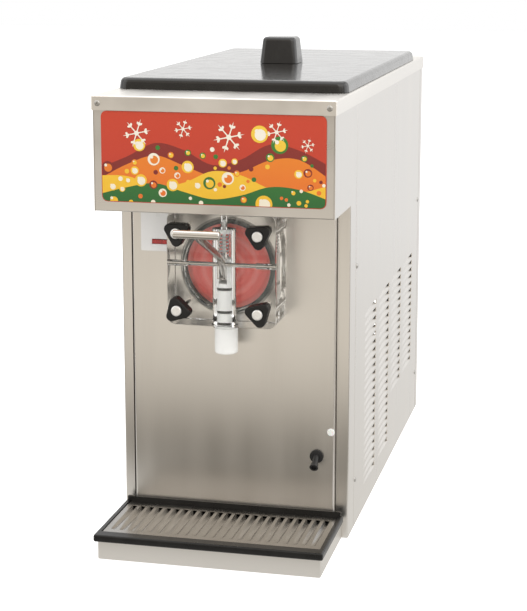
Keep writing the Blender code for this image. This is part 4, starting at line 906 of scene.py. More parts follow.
class DISPENSER_OT_graphic(bpy.types.Operator):
    """Builds the printed panel with its waves, bubbles and ice crystals"""

    bl_idname = "dispenser.graphic"
    bl_label = "Printed panel"

    def execute(self, context):
        low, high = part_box("graphic_panel")
        outline = rounded_rectangle(low.x, low.z, high.x, high.z, 9 * MM)
        ground = printed_ink("ink_ground", setting("print", "ground"), (0.52, 0.05, 0.02))
        panel = new_object("printed_panel", form(slab_into, outline, low.y, high.y, "Y"), ground)
        finish_piece(rounded_edges(panel, 0.25 * MM, 2), "cabinet", "graphic_panel")
        inks = {
            "maroon": ((0.16, 0.012, 0.010), (0.27, 0.03, 0.018)),
            "orange": ((0.68, 0.13, 0.012), (0.74, 0.26, 0.015)),
            "yellow": ((0.76, 0.42, 0.015), (0.80, 0.56, 0.06)),
            "green": ((0.015, 0.11, 0.02), (0.06, 0.24, 0.03)),
            "cream": ((0.76, 0.68, 0.52), (0.82, 0.77, 0.66)),
        }
        ink = {word: printed_ink("ink_" + word, *tones) for word, tones in inks.items()}
        self.print_waves(ink)
        self.print_bubbles(ink)
        stars = [((-100, 90), 19), ((-38, 97), 13), ((22, 88), 21), ((84, 96), 15), ((124, 80), 10)]
        outlines = [ice_star((x * MM, low.z + z * MM), size * MM) for (x, z), size in stars]
        print_layer("print_ice_crystals", outlines, 8, ink["cream"])
        return {"FINISHED"}

    def print_waves(self, ink):
        """Four rolling bands, each in front of the one before."""
        low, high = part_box("graphic_panel")
        beyond = 2 * MM
        waves = {
            "maroon": (44, 60, 78, 70, 52, 60, 80, 74, 56),
            "orange": (30, 50, 62, 50, 38, 44, 60, 62, 40),
            "yellow": (34, 34, 22, 28, 44, 40, 24, 20, 30),
            "green": (10, 20, 26, 16, 8, 14, 26, 24, 12),
        }
        for level, (word, heights) in enumerate(waves.items(), 1):
            heights = [low.z + height * MM for height in heights]
            outline = wave_outline(heights, low.x - beyond, high.x + beyond, low.z - beyond)
            print_layer("print_wave_" + word, [outline], level, ink[word])

    def print_bubbles(self, ink):
        """Bubbles that keep clear of each other, the larger ones with a heart and a light in them."""
        low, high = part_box("graphic_panel")
        draw = random.Random(12)
        wanted, large = setting("print", "bubbles"), 3.5 * MM
        placed = []
        bubbles = {word: [] for word in ink}
        for _ in range(wanted * 6):
            if len(placed) >= wanted:
                break
            radius = draw.choice((2.2, 3, 4, 5.5, 8, 11)) * MM
            centre = (
                draw.uniform(low.x + radius, high.x - radius),
                low.z + abs(draw.gauss(34, 22)) * MM,
            )
            crowded = any(math.dist(centre, other) < radius + size + 1 * MM for other, size in placed)
            if crowded or centre[1] > high.z - radius - 3 * MM:
                continue
            placed.append((centre, radius))
            word = draw.choice(("yellow", "orange", "green", "cream", "maroon", "yellow"))
            bubbles[word].append((centre, radius))
        hearts = {
            "yellow": "cream",
            "orange": "yellow",
            "green": "yellow",
            "cream": "orange",
            "maroon": "orange",
        }
        for word, group in bubbles.items():
            print_layer("print_bubbles_" + word, [circle(c, r) for c, r in group], 5, ink[word])
        for word in ("cream", "yellow", "orange"):
            outers = [outer for outer, heart in hearts.items() if heart == word]
            group = [(c, r) for outer in outers for c, r in bubbles[outer] if r > large]
            discs = [circle((c[0] + 0.08 * r, c[1] - 0.08 * r), 0.66 * r) for c, r in group]
            print_layer("print_bubble_hearts_" + word, discs, 6, ink[word])
        lights = [circle((c[0] - 0.32 * r, c[1] + 0.34 * r), 0.24 * r, 16) for c, r in placed if r > large]
        print_layer("print_bubble_lights", lights, 7, ink["cream"])


# Controls, drain and plug


class DISPENSER_OT_controls(bpy.types.Operator):
    """Builds the white control plate, its red window and the toggle switch"""

    bl_idname = "dispenser.controls"
    bl_label = "Controls"

    def execute(self, context):
        low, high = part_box("control_plate")
        outline = rounded_rectangle(low.x, low.z, high.x, high.z, 1.5 * MM, 4)
        enamel = plain_finish("plate_white", (0.86, 0.845, 0.82), 0.3, 0.0, 40, 0.004 * MM, 0.015)
        plate = new_object("control_plate_sheet", form(slab_into, outline, low.y, high.y, "Y"), enamel)
        near, far = low.y - 5 * MM, high.y + 5 * MM
        holes = form(box_into, *window_opening(near, far))
        rod_into(holes, (SWITCH[0], near, SWITCH[2]), (SWITCH[0], far, SWITCH[2]), SWITCH_HOLE)
        finish_piece(rounded_edges(cut(plate, holes), 0.15 * MM, 2), "cabinet", "control_plate")

        lens = form(box_into, *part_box("indicator_lens"))
        lens = rounded_edges(new_object("indicator_window", lens, lens_plastic("lens_red")), 0.7 * MM)
        finish_piece(lens, "cabinet", "indicator_lens")

        bush = [(5.8, -7), (5.8, 2.2), (8, 2.2), (8, 18), (2, 18)]
        bush += [(2, 6), (3.4, 1), (3.4, -4), (4.6, -7), (5.8, -7)]
        piece = turned("switch_bush", in_mm(bush), SWITCH, BACKWARD, 40, bright_steel())
        finish_piece(piece, "cabinet", "switch_body")
        bat = [(0, 3.0), (2.2, 2.0), (3.0, 0), (2.2, -2.0)]
        bat += [(1.8, -5), (2.5, -11), (3.1, -17), (2.6, -19), (0, -20)]
        pivot = (SWITCH[0], PANEL_FACE - 1.5 * MM, SWITCH[2])
        piece = turned("switch_bat", fillet(in_mm(bat), 1 * MM, 3), pivot, BACKWARD, 40, bright_steel())
        finish_piece(piece, "switch", "switch_lever")
        return {"FINISHED"}


class DISPENSER_OT_drain(bpy.types.Operator):
    """Builds the drain elbow and the hole plug of the front panel"""

    bl_idname = "dispenser.drain"
    bl_label = "Drain"

    def execute(self, context):
        x, _, z = DRAIN
        black = moulded_black("drain_black", 0.36, 0.02 * MM, 700)
        flange = [(0, 0.3), (9.4, 0.3), (9.4, 3.3), (6.2, 3.5), (0, 3.5)]
        elbow = turned("drain_spout", fillet(in_mm(flange), 0.8 * MM), DRAIN, FORWARD, 64, black)
        tip = Vector((x, POSTS - 31 * MM, z - 10.2 * MM))
        run = Vector((0, -0.89, -0.456))
        shoulder = tip - run * 7 * MM
        bend = [
            (x, POSTS + 8 * MM, z),
            (x, PANEL_FACE - 2.3 * MM, z),
            shoulder - run * 3 * MM,
            shoulder + run * 1 * MM,
        ]
        join(elbow, form(tube_into, smooth_path(bend, 6), 4 * MM, 28))
        flare = [(0, -7), (4.9, -7), (5.2, -6.5), (5.4, -3), (6, -0.3)]
        flare += [(5.8, 0), (3.8, 0), (3.8, -3), (0, -3)]
        join(elbow, form(lathe_into, fillet(in_mm(flare), 0.3 * MM, 2), tip, run, 48))
        finish_piece(elbow, "cabinet", "drain_elbow")

        head = [(0, 6), (3.4, 6), (3.4, -0.3), (5.4, -0.3), (5.2, -1.3), (3.8, -2.0), (0, -2.2)]
        white = white_resin("plug_white", (0.84, 0.83, 0.80), 0.32)
        plug = turned("plug_button", fillet(in_mm(head), 0.6 * MM, 3), PLUG, BACKWARD, 48, white)
        finish_piece(plug, "cabinet", "hole_plug")
        return {"FINISHED"}


# Drip tray and grille


class DISPENSER_OT_drip_tray(bpy.types.Operator):
    """Builds the moulded drip tray"""

    bl_idname = "dispenser.drip_tray"
    bl_label = "Drip tray"

    def execute(self, context):
        low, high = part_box("drip_tray")
        grille_low, grille_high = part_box("drip_grille")
        rim_foot, rim_top, above = 26 * MM, 36 * MM, 60 * MM
        rim = form(box_into, (low.x, low.y, rim_foot), (high.x, high.y, rim_top))
        black = moulded_black("tray_black", 0.28, 0.03 * MM, 900, (0.008, 0.0075, 0.007))
        tray = rounded_edges(new_object("drip_tray_moulding", rim, black), 2.6 * MM, 4)
        upstand = (low.x + 3 * MM, high.y - 5 * MM, rim_foot + 3 * MM), (high.x - 3 * MM, high.y, high.z)
        bowl = (-146 * MM, POSTS - 146 * MM, low.z), (146 * MM, POSTS - 16 * MM, rim_foot + 5 * MM)
        play = 0.9 * MM
        ledge = (
            (grille_low.x - play, grille_low.y - play, grille_high.z - 3.4 * MM),
            (grille_high.x + play, grille_high.y + 0.4 * MM, above),
        )
        hollow = (-143 * MM, POSTS - 137 * MM, 7 * MM), (143 * MM, POSTS - 20 * MM, above)
        for operation, box in ((join, upstand), (join, bowl), (cut, ledge), (cut, hollow)):
            operation(tray, form(box_into, *box))
        rounded_edges(tray, 0.5 * MM, 2, 50)
        finish_piece(tray, "tray", "drip_tray", degrees=40)
        return {"FINISHED"}


class DISPENSER_OT_drip_grille(bpy.types.Operator):
    """Builds the cup stand with its pressed channels and drain holes"""

    bl_idname = "dispenser.drip_grille"
    bl_label = "Drip grille"

    def execute(self, context):
        low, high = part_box("drip_grille")
        count, pitch = 23, 12.39 * MM
        channels = [(high.y - 15 * MM, (i - (count - 1) / 2) * pitch) for i in range(count)]
        length, width, depth, front_share = 98 * MM, 8 * MM, 5 * MM, 0.3
        # Painted shade: the cup stand's stainless is the sheet's tone darkened to 0.56.
        steel = brushed_steel("grille_steel_y", "Y", 0.26, 0.56)
        grille = pressed_sheet(
            "cup_stand",
            (low.y, low.x, high.y, high.x),
            channels,
            (length, width, depth, front_share),
            lambda u, v, d: (-v, u, high.z - d),
            1 * MM,
            steel,
        )
        edge = form(box_into, (low.x, low.y, high.z - 3 * MM), (high.x, high.y, high.z - 0.3 * MM))
        skirt = new_object("skirt", edge, steel)
        wall, above = 1.2 * MM, 60 * MM
        cut(skirt, form(box_into, (low.x + wall, low.y + wall, 0), (high.x - wall, high.y - wall, above)))
        finish_piece(join(grille, skirt), "grille", "drip_grille")
        return {"FINISHED"}


# Lid


def make_moulded_block(name, node, taper, corner, top, material):
    """An open-bottomed moulding of the lid, with drafted sides and rounded edges."""
    low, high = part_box(node)
    bm = form(box_into, low, high)
    middle = (low + high) / 2
    for vert in bm.verts:
        if vert.co.z > middle.z:
            vert.co.x = middle.x + (vert.co.x - middle.x) * taper[0]
            vert.co.y = middle.y + (vert.co.y - middle.y) * taper[1]
    tall = (high.z - low.z) / 2
    uprights = [e for e in bm.edges if abs(e.verts[0].co.z - e.verts[1].co.z) > tall]
    bmesh.ops.bevel(bm, geom=uprights, offset=corner, segments=8, profile=0.5, affect="EDGES")
    rim = [e for e in bm.edges if all(v.co.z > high.z - 1e-5 for v in e.verts)]
    bmesh.ops.bevel(bm, geom=rim, offset=top, segments=6, profile=0.5, affect="EDGES")
    bmesh.ops.delete(bm, geom=[f for f in bm.faces if f.normal.z < -0.9], context="FACES")
    obj = new_object(name, bm, material, recalculate=False)
    finish_piece(settle(obj, "SOLIDIFY", thickness=3 * MM, offset=-1), "lid", node, degrees=50)


class DISPENSER_OT_lid(bpy.types.Operator):
    """Builds the hopper's lid and its handle"""

    bl_idname = "dispenser.lid"
    bl_label = "Lid"

    def execute(self, context):
        haircell = moulded_black("lid_haircell", 0.25, 0.05 * MM, 700, (0.007, 0.0065, 0.006), 1.0)
        make_moulded_block("lid_moulding", "hopper_lid", (0.99, 0.995), 14 * MM, 6.5 * MM, haircell)
        black = moulded_black("lid_handle_black", 0.3, 0.05 * MM, 600, coat=1.0)
        make_moulded_block("lid_grip", "lid_handle", (0.86, 0.86), 8 * MM, 5.5 * MM, black)
        return {"FINISHED"}


# Barrel


class DISPENSER_OT_barrel(bpy.types.Operator):
    """Builds the barrel's flange, the drink in its mouth and the head's gasket"""

    bl_idname = "dispenser.barrel"
    bl_label = "Barrel"

    def execute(self, context):
        self.make_barrel()
        self.make_drink()
        lip = [(63.6, -0.1), (63.6, -4.1), (59.4, -4.1), (59.4, -9), (58.2, -9), (58.2, -0.1), (63.6, -0.1)]
        centre = Vector((0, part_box("faceplate")[1].y, BARREL.z))
        rubber = soft_rubber("gasket_rubber", (0.028, 0.032, 0.03))
        gasket = turned("gasket_ring", in_mm(lip), centre, BACKWARD, 96, rubber)
        finish_piece(gasket, "cabinet", "head_gasket")
        foam = plain_finish("jacket_foam", (0.55, 0.56, 0.5), 0.85, cells=300, depth=0.3 * MM)
        dress("barrel_jacket", foam)
        dress("beater", white_resin("beater_white"))
        dress("shaft_seal", soft_rubber("seal_rubber", (0.03, 0.03, 0.03)))
        dress("feed_tube", white_resin("feed_tube_white"))
        return {"FINISHED"}

    def make_barrel(self):
        """The tube with its back and mouth ring, and the square flange that the studs pass through."""
        front = PANEL_FACE + 0.4 * MM - BARREL.y
        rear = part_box("freezing_barrel")[1].y - BARREL.y
        bore, wall, ring, ring_depth, seal_hole = 59.5 * MM, 3 * MM, 66.2 * MM, 6 * MM, 14 * MM
        profile = [
            (ring, front),
            (ring, front + ring_depth),
            (bore + wall, front + ring_depth),
            (bore + wall, rear),
            (seal_hole, rear),
            (seal_hole, rear - wall),
            (bore, rear - wall),
            (bore, front),
            (ring, front),
        ]
        # Painted shadow: the barrel and its flange are the sheet's tone darkened to 0.55, for the clear
        # block's shadow on them.
        steel = brushed_steel("barrel_steel_y", "Y", 0.36, 0.55)
        barrel = turned("barrel_tube", profile, BARREL, BACKWARD, 96, steel)
        half, through = 70 * MM, Vector((0, 50 * MM, 0))
        outline = rounded_rectangle(-half, BARREL.z - half, half, BARREL.z + half, 6 * MM)
        flange = form(slab_into, outline, POSTS - 8.2 * MM, POSTS - 4.2 * MM, "Y")
        flange = new_object("flange", flange, steel)
        cut(flange, form(rod_into, BARREL - through, BARREL + through, bore + 1.5 * MM, 96))
        join(barrel, flange)
        holes = bmesh.new()
        for x, z, _ in CORNERS.values():
            rod_into(holes, (x, POSTS - 20 * MM, z), (x, POSTS + 20 * MM, z), 4.4 * MM, 32)
        top, feed = BARREL.z + bore + wall, POSTS + 90 * MM
        rod_into(holes, (0, feed, top - 10 * MM), (0, feed, top + 10 * MM), 7 * MM, 32)
        finish_piece(cut(barrel, holes), "cabinet", "freezing_barrel")

    def make_drink(self):
        """The drink's face, swept into rings by the beater and roughened by its crystals."""
        low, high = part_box("frozen_drink")
        outer = 58.6 * MM
        rings, spokes = 56, 128
        bm = bmesh.new()
        centre = bm.verts.new((0, low.y + 0.4 * MM, BARREL.z))
        rows = []
        for i in range(1, rings + 1):
            radius = outer * i / rings
            row = []
            for k in range(spokes):
                angle = 2 * math.pi * k / spokes
                swirl = radius / MM / 5.4 + 0.35 * math.sin(2 * angle + radius * 60)
                ridge = 0.5 + 0.5 * math.cos(2 * math.pi * swirl / 1.6)
                point = Vector((radius * math.cos(angle), 0, radius * math.sin(angle)))
                rough = noise.noise(point * 260) * 0.14 + noise.noise(point * 70) * 0.2
                depth = min(1.2, max(0.0, 1.05 - 0.8 * ridge + rough)) * MM
                row.append(bm.verts.new((point.x, low.y + depth, BARREL.z + point.z)))
            rows.append(row)
        back = [bm.verts.new((v.co.x, high.y, v.co.z)) for v in rows[-1]]
        for k in range(spokes):
            n = (k + 1) % spokes
            bm.faces.new((centre, rows[0][k], rows[0][n]))
            for near, far in zip(rows, rows[1:]):
                bm.faces.new((near[k], far[k], far[n], near[n]))
            bm.faces.new((rows[-1][k], back[k], back[n], rows[-1][n]))
        bm.faces.new(back)
        drink = new_object("drink_face", bm, frozen_drink_ice("frozen_drink_ice"))
        finish_piece(drink, "cabinet", "frozen_drink", degrees=60)


# Clear head


class DISPENSER_OT_clear_head(bpy.types.Operator):
    """Builds the clear block with its bores, slot and pockets"""

    bl_idname = "dispenser.clear_head"
    bl_label = "Clear head"

    def execute(self, context):
        low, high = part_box("faceplate")
        back, foot = high.y, 306.5 * MM
        valve_floor, valve_top, throat = foot - 20 * MM, 436 * MM, 336 * MM
        outline = rounded_rectangle(low.x, foot, high.x, high.z, 13 * MM, 12)
        acrylic = clear_acrylic("clear_acrylic")
        block = new_object("clear_block", form(slab_into, outline, low.y, back, "Y"), acrylic)
        rounded_edges(block, setting("head", "edge"), 4)
        join(block, form(rod_into, (0, VALVE.y, low.z), (0, VALVE.y, foot + 20 * MM), 18 * MM, 72))
        left, right = low.x - 1 * MM, high.x + 1 * MM
        bores = (
            ((0, back + 5 * MM, BARREL.z), (0, back - 13 * MM, BARREL.z), 59.7 * MM, 96),
            ((0, back + 5 * MM, BARREL.z), (0, back - 4.4 * MM, BARREL.z), 64.1 * MM, 96),
            ((0, VALVE.y, valve_floor), (0, VALVE.y, valve_top), 16 * MM, 72),
            ((0, VALVE.y, valve_top - 5 * MM), (0, VALVE.y, high.z + 5 * MM), 4.4 * MM, 40),
            ((0, back - 8 * MM, throat), (0, VALVE.y, throat), 8 * MM, 40),
            ((left, PIVOT.y, PIVOT.z), (right, PIVOT.y, PIVOT.z), PIN_RADIUS + PIN_PLAY, 40),
        )
        for bore in bores:
            cut(block, form(rod_into, *bore))
        cut(block, form(box_into, (-SLOT_HALF, low.y - 5 * MM, 371 * MM), (SLOT_HALF, VALVE.y, 406 * MM)))
        pockets = bmesh.new()
        radius = SLEEVE_RADIUS + PIN_PLAY
        for side in (-1, 1):
            start, end = side * (high.x + 5 * MM), side * (high.x - 27.3 * MM)
            rod_into(pockets, (start, PIVOT.y, PIVOT.z), (end, PIVOT.y, PIVOT.z), radius, 40)
        for x, z, _ in CORNERS.values():
            rod_into(pockets, (x, low.y - 10 * MM, z), (x, back + 10 * MM, z), 4.6 * MM, 40)
        finish_piece(cut(block, pockets), "cabinet", "faceplate")
        return {"FINISHED"}


# Valve


class DISPENSER_OT_valve(bpy.types.Operator):
    """Builds the plunger, its rings, the spring and the spring's seat"""

    bl_idname = "dispenser.valve"
    bl_label = "Valve"

    def execute(self, context):
        self.make_plunger()
        rubber = soft_rubber("ring_rubber", (0.02, 0.02, 0.02), 0.45)
        for name, z in RING_HEIGHTS.items():
            section = circle((14.15 * MM, z), 1.5 * MM, 16)
            ring = turned(name + "_seal", section + section[:1], VALVE, UP, 64, rubber)
            finish_piece(ring, "valve", name)
        seat = [(15.4, 435.6), (15.4, 430.4), (14.8, 429.8), (4.2, 429.8), (4.2, 435.6), (15.4, 435.6)]
        cup = turned("spring_cup", in_mm(seat), VALVE, UP, 64, white_resin("seat_white"))
        finish_piece(cup, "cabinet", "spring_seat")
        self.make_spring()
        return {"FINISHED"}

    def make_plunger(self):
        """The plunger with its stem, ring grooves, handle pocket and the drink's way to the spout."""
        low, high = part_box("plunger")
        top, radius, stem, groove, half_groove = 396, 15.6, 3.6, 12.2, 1.9
        profile = [(0, high.z / MM), (stem, high.z / MM), (stem, top), (radius, top)]
        for z in sorted(RING_HEIGHTS.values(), reverse=True):
            upper, lower = z / MM + half_groove, z / MM - half_groove
            profile += [(radius, upper), (groove, upper), (groove, lower), (radius, lower)]
        foot = low.z / MM
        profile += [(radius, foot + 2), (14.2, foot), (11, foot), (11, 303), (0, 303)]
        resin = white_resin("white_acetal")
        plunger = turned("valve_plunger", fillet(in_mm(profile), 0.45 * MM, 2), VALVE, UP, 72, resin)
        pocket = [(-66, 363), (-38.6, 363), (-38.6, 375.5), (-50.2, 378.8), (-66, 398.6)]
        outline = [(POSTS + y, z) for y, z in in_mm(pocket)]
        cut(plunger, form(slab_into, outline, -SLOT_HALF, SLOT_HALF, "X"))
        for start, end, width in (((0, 0, 298), (0, 0, 317.5), 8), ((0, 0, 316.5), (0, 20, 316.5), 4.5)):
            cut(plunger, form(rod_into, VALVE + Vector(start) * MM, VALVE + Vector(end) * MM, width * MM))
        finish_piece(plunger, "valve", "plunger")

    def make_spring(self):
        low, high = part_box("valve_spring")
        wire, coil = 0.95 * MM, 9.5 * MM
        per_turn = 36
        count = int(setting("head", "turns") * per_turn)
        path = []
        for i in range(count + 1):
            angle = 2 * math.pi * i / per_turn
            z = low.z + wire + (high.z - low.z - 2 * wire) * i / count
            path.append((coil * math.cos(angle), VALVE.y + coil * math.sin(angle), z))
        steel = plain_finish("spring_wire", (0.5, 0.5, 0.5), 0.28, 1.0, 400, 0.004 * MM)
        spring = new_object("valve_coil", form(tube_into, path, wire, 10), steel)
        finish_piece(spring, "valve", "valve_spring")
        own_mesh(spring)


# Handle


class DISPENSER_OT_handle(bpy.types.Operator):
    """Builds the T-handle, its cross pin and the pin's sleeve"""

    bl_idname = "dispenser.handle"
    bl_label = "Handle"

    def execute(self, context):
        grip_at = (-193, 451)
        route = [
            (-54, 369.5),
            (-59.5, 379),
            (-67, 390),
            (-78, 400),
            (-94, 407.5),
            (-128, 422),
            (-160, 435.5),
            (-178, 443.2),
            grip_at,
        ]
        bar = form(tube_into, smooth_path([(0, POSTS + y, z) for y, z in in_mm(route)], 8), 5 * MM, 32)
        arm = rounded_edges(new_object("tap_handle", bar, bright_steel()), 2.2 * MM, 4, 60)
        half, radius = 30 * MM, 5.4 * MM
        grip = fillet([(0, -half), (radius, -half), (radius, half), (0, half)], 1.8 * MM, 5)
        join(arm, form(lathe_into, grip, (0, POSTS + grip_at[0] * MM, grip_at[1] * MM), ACROSS, 48))
        bore = PIN_RADIUS + PIN_PLAY
        cut(arm, form(rod_into, (-10 * MM, PIVOT.y, PIVOT.z), (10 * MM, PIVOT.y, PIVOT.z), bore, 40))
        finish_piece(arm, "handle", "dispensing_handle")

        left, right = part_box("pivot_pin")[0].x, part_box("pivot_pin")[1].x
        head = right - 26.4 * MM
        pin = [(0, left), (PIN_RADIUS, left), (PIN_RADIUS, head)]
        pin += [(SLEEVE_RADIUS, head), (SLEEVE_RADIUS, right), (0, right)]
        left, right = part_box("pivot_sleeve")[0].x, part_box("pivot_sleeve")[1].x
        bottom = left + 5 * MM
        sleeve = [(0, left), (SLEEVE_RADIUS, left), (SLEEVE_RADIUS, right)]
        sleeve += [(bore, right), (bore, bottom), (0, bottom)]
        for name, node, profile in (("cross_pin", "pivot_pin", pin), ("pin_sleeve", "pivot_sleeve", sleeve)):
            place = (0, PIVOT.y, PIVOT.z)
            piece = turned(name, fillet(profile, 0.35 * MM, 2), place, ACROSS, 40, bright_steel())
            finish_piece(piece, "cabinet", node)
        return {"FINISHED"}


# Clamps


def lobed_outline(x, z, turn):
    """Three round lobes whose outer arcs are joined by straight flanks."""
    distance, radius, steps = 10.9 * MM, 6.9 * MM, 14
    points = []
    for lobe in range(3):
        middle = turn + 120 * lobe
        facing = math.radians(middle)
        for i in range(steps + 1):
            angle = math.radians(middle - 60 + 120 * i / steps)
            points.append((
                x + distance * math.cos(facing) + radius * math.cos(angle),
                z + distance * math.sin(facing) + radius * math.sin(angle),
            ))
    return points


def make_stud(corner, x, z):
    """A stud with its shouldered head behind the plate and a rolled thread in front."""
    low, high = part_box("stud_" + corner)
    radius, ridge, pitch, head_radius = 4 * MM, 0.45 * MM, 1.25 * MM, 7 * MM
    head = high.y - 3.5 * MM
    root = radius - ridge
    profile = [(0, low.y), (root, low.y)]
    y = low.y + 0.5 * MM
    while y < high.y - 12 * MM:
        profile += [(root, y), (radius, y + 0.5 * pitch)]
        y += pitch
    profile += [(radius, y + 0.6 * pitch), (radius, head)]
    profile += [(head_radius, head), (head_radius, high.y), (0, high.y)]
    stud = turned("clamp_stud_" + corner, profile, (x, 0, z), BACKWARD, 24, bright_steel())
    finish_piece(stud, "cabinet", "stud_" + corner, degrees=25)


def make_knob(corner, x, z, turn):
    """A lobed knob with its collar and bore, and the metal cap set in its face."""
    low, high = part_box("knob_" + corner)
    lobes_back, collar_front, bore_end = POSTS - 80 * MM, POSTS - 84 * MM, POSTS - 91 * MM
    black = moulded_black("knob_black", 0.42, 0.04 * MM, 800, (0.009, 0.0085, 0.008))
    lobes = form(slab_into, lobed_outline(x, z, turn), low.y, lobes_back, "Y")
    knob = rounded_edges(new_object("lobed_knob_" + corner, lobes, black), 2 * MM, 5)
    join(knob, form(rod_into, (x, high.y, z), (x, collar_front, z), 9 * MM))
    holes = form(rod_into, (x, high.y + 10 * MM, z), (x, bore_end, z), 4.6 * MM, 40)
    rod_into(holes, (x, low.y + 2 * MM, z), (x, low.y - 10 * MM, z), 7.6 * MM)
    finish_piece(cut(knob, holes), "clamp_" + corner, "knob_" + corner)

    low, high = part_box("knob_cap_" + corner)
    radius, depth = 7 * MM, high.y - low.y
    cap = [(0, 0), (5.8 * MM, 0.1 * MM), (radius, 0.9 * MM), (radius, depth), (0, depth)]
    metal = turned_aluminium("turned_aluminium")
    button = turned("cap_button_" + corner, fillet(cap, 0.7 * MM, 3), (x, low.y, z), BACKWARD, 48, metal)
    finish_piece(button, "clamp_" + corner, "knob_cap_" + corner)


class DISPENSER_OT_clamps(bpy.types.Operator):
    """Builds the four studs, lobed knobs and their metal caps"""

    bl_idname = "dispenser.clamps"
    bl_label = "Clamps"

    def execute(self, context):
        for corner, (x, z, turn) in CORNERS.items():
            make_stud(corner, x, z)
            make_knob(corner, x, z, turn)
        return {"FINISHED"}


# Machinery inside


class DISPENSER_OT_machinery(bpy.types.Operator):
    """Finishes the parts inside the cabinet and the mains gland"""

    bl_idname = "dispenser.machinery"
    bl_label = "Machinery"

    def execute(self, context):
        grey = plain_finish("machine_grey", (0.16, 0.17, 0.18), 0.45)
        for node in ("gear_motor", "fan_motor", "control_box"):
            dress(node, grey)
        dress("compressor", plain_finish("pot_enamel", (0.03, 0.03, 0.035), 0.28))
        dress("condenser", plain_finish("fin_aluminium", (0.6, 0.6, 0.6), 0.45, 0.9, 200))
        dress("fan_shroud", sheet_steel("X"))
        dress("fan_blade", plain_finish("fan_grey", (0.3, 0.3, 0.31), 0.5))
        dress("mains_gland", moulded_black("gland_black", 0.45))
        return {"FINISHED"}


# Stage


def area_lamp(name, at, aim, size, power, color=(1, 1, 1)):
    data = bpy.data.lights.new(name, "AREA")
    data.shape = "RECTANGLE"
    data.size, data.size_y = size
    data.energy = power
    data.color = color
    lamp = bpy.data.objects.new(name, data)
    bpy.context.scene.collection.objects.link(lamp)
    lamp.location = at
    lamp.rotation_euler = (Vector(aim) - Vector(at)).to_track_quat("-Z", "Y").to_euler()


def ways_of_seeing(tree):
    """Whether a ray meets the backdrop straight or through clear parts, or has been mirrored on its way."""
    light = add(tree, "LightPath").outputs
    through = light["Is Transmission Ray"]

    def reckon(operation, first, second):
        return add(tree, "Math", {0: first, 1: second}, operation=operation).outputs[0]

    bounced = reckon("GREATER_THAN", light["Glossy Depth"], 0.5)
    eye = reckon("MAXIMUM", light["Is Camera Ray"], through)
    seen = reckon("MULTIPLY", eye, reckon("SUBTRACT", 1.0, bounced))
    mirrored = reckon("MAXIMUM", light["Is Glossy Ray"], reckon("MULTIPLY", through, bounced))
    return seen, mirrored


def painted_floor_reflection(tree):
    """What metal shows of the floor: warm and dimmer some way ahead, near white close by and behind."""
    tones = (
        (-4.5, (0.40, 0.36, 0.31)),
        (-2.9, (0.92, 0.85, 0.75)),
        (-2.0, (1.0, 0.94, 0.84)),
        (-0.9, (1.0, 0.94, 0.84)),
        (-0.62, (0.62, 0.57, 0.50)),
        (-0.42, (0.10, 0.09, 0.07)),
        (-0.28, (0.20, 0.18, 0.15)),
        (-0.2, (0.80, 0.78, 0.74)),
        (0.5, (0.88, 0.865, 0.84)),
        (2.5, (1, 1, 1)),
    )
    near, far = tones[-1][0], tones[0][0]
    where = add(tree, "NewGeometry").outputs["Position"]
    depth = add(tree, "SeparateXYZ", {0: where}).outputs["Y"]
    ramp = add(tree, "ValToRGB", {"Fac": spread(tree, depth, 0, 1, POSTS + far, POSTS + near)})
    steps = ramp.color_ramp.elements
    while len(steps) < len(tones):
        steps.new(0.5)
    for step, (depth, tone) in zip(steps, tones):
        step.position = (depth - far) / (near - far)
        step.color = (*tone, 1)
    return ramp.outputs["Color"]


def make_floor():
    """A wide pale floor that fades to white away from the object's shadow."""
    tone = setting("stage", "floor")
    made, tree, shader = new_shader("floor_pale", tone, 0.7)
    feed(tree, shader, mottle(tree, grain(tree, 3, 3), tone, 0.99, 1))
    seen, mirrored = ways_of_seeing(tree)
    glow = add(tree, "Emission", {"Color": (1, 1, 1, 1), "Strength": 0.62})
    lifted = add(tree, "AddShader", {0: shader.outputs[0], 1: glow.outputs[0]})
    # Painted reflection: glossy rays see this emission in place of the lit floor.
    painted_reflection = add(tree, "Emission", {"Color": painted_floor_reflection(tree)})
    other = add(tree, "MixShader", {0: mirrored, 1: shader.outputs[0], 2: painted_reflection.outputs[0]})
    chosen = add(tree, "MixShader", {0: seen, 1: other.outputs[0], 2: lifted.outputs[0]})
    tree.links.new(chosen.outputs[0], tree.nodes["Material Output"].inputs["Surface"])
    bm = bmesh.new()
    bmesh.ops.create_grid(bm, x_segments=2, y_segments=2, size=12)
    new_object("floor", bm, made)


def make_surround():
    """White to the eye; softer as a light, and darker ahead of the machine than beside it."""
    world = bpy.data.worlds.new("surround")
    bpy.context.scene.world = world
    world.use_nodes = True
    tree = world.node_tree
    tree.nodes.clear()
    seen, mirrored = ways_of_seeing(tree)
    where = add(tree, "TexCoord").outputs["Generated"]
    toward = add(tree, "SeparateXYZ", {0: where}).outputs
    low_front = spread(tree, toward["Z"], 0.4, 1.0, 0.0, 0.4)
    beside = spread(tree, toward["Y"], 0, 1, -0.9, -0.1)
    strength = add(tree, "MapRange", {"Value": beside, "To Min": low_front, "To Max": 1.0}).outputs["Result"]
    tint = blend_color(tree, beside, (1, 0.91, 0.79), (1, 0.995, 0.985))
    studio = add(tree, "Background", {"Color": tint, "Strength": strength})
    soft = add(tree, "Background", {"Color": (1, 1, 1, 1), "Strength": setting("stage", "surround")})
    white = add(tree, "Background", {"Color": (1, 1, 1, 1)})
    inner = add(tree, "MixShader", {0: mirrored, 1: soft.outputs[0], 2: studio.outputs[0]})
    outer = add(tree, "MixShader", {0: seen, 1: inner.outputs[0], 2: white.outputs[0]})
    add(tree, "OutputWorld", {"Surface": outer.outputs[0]})


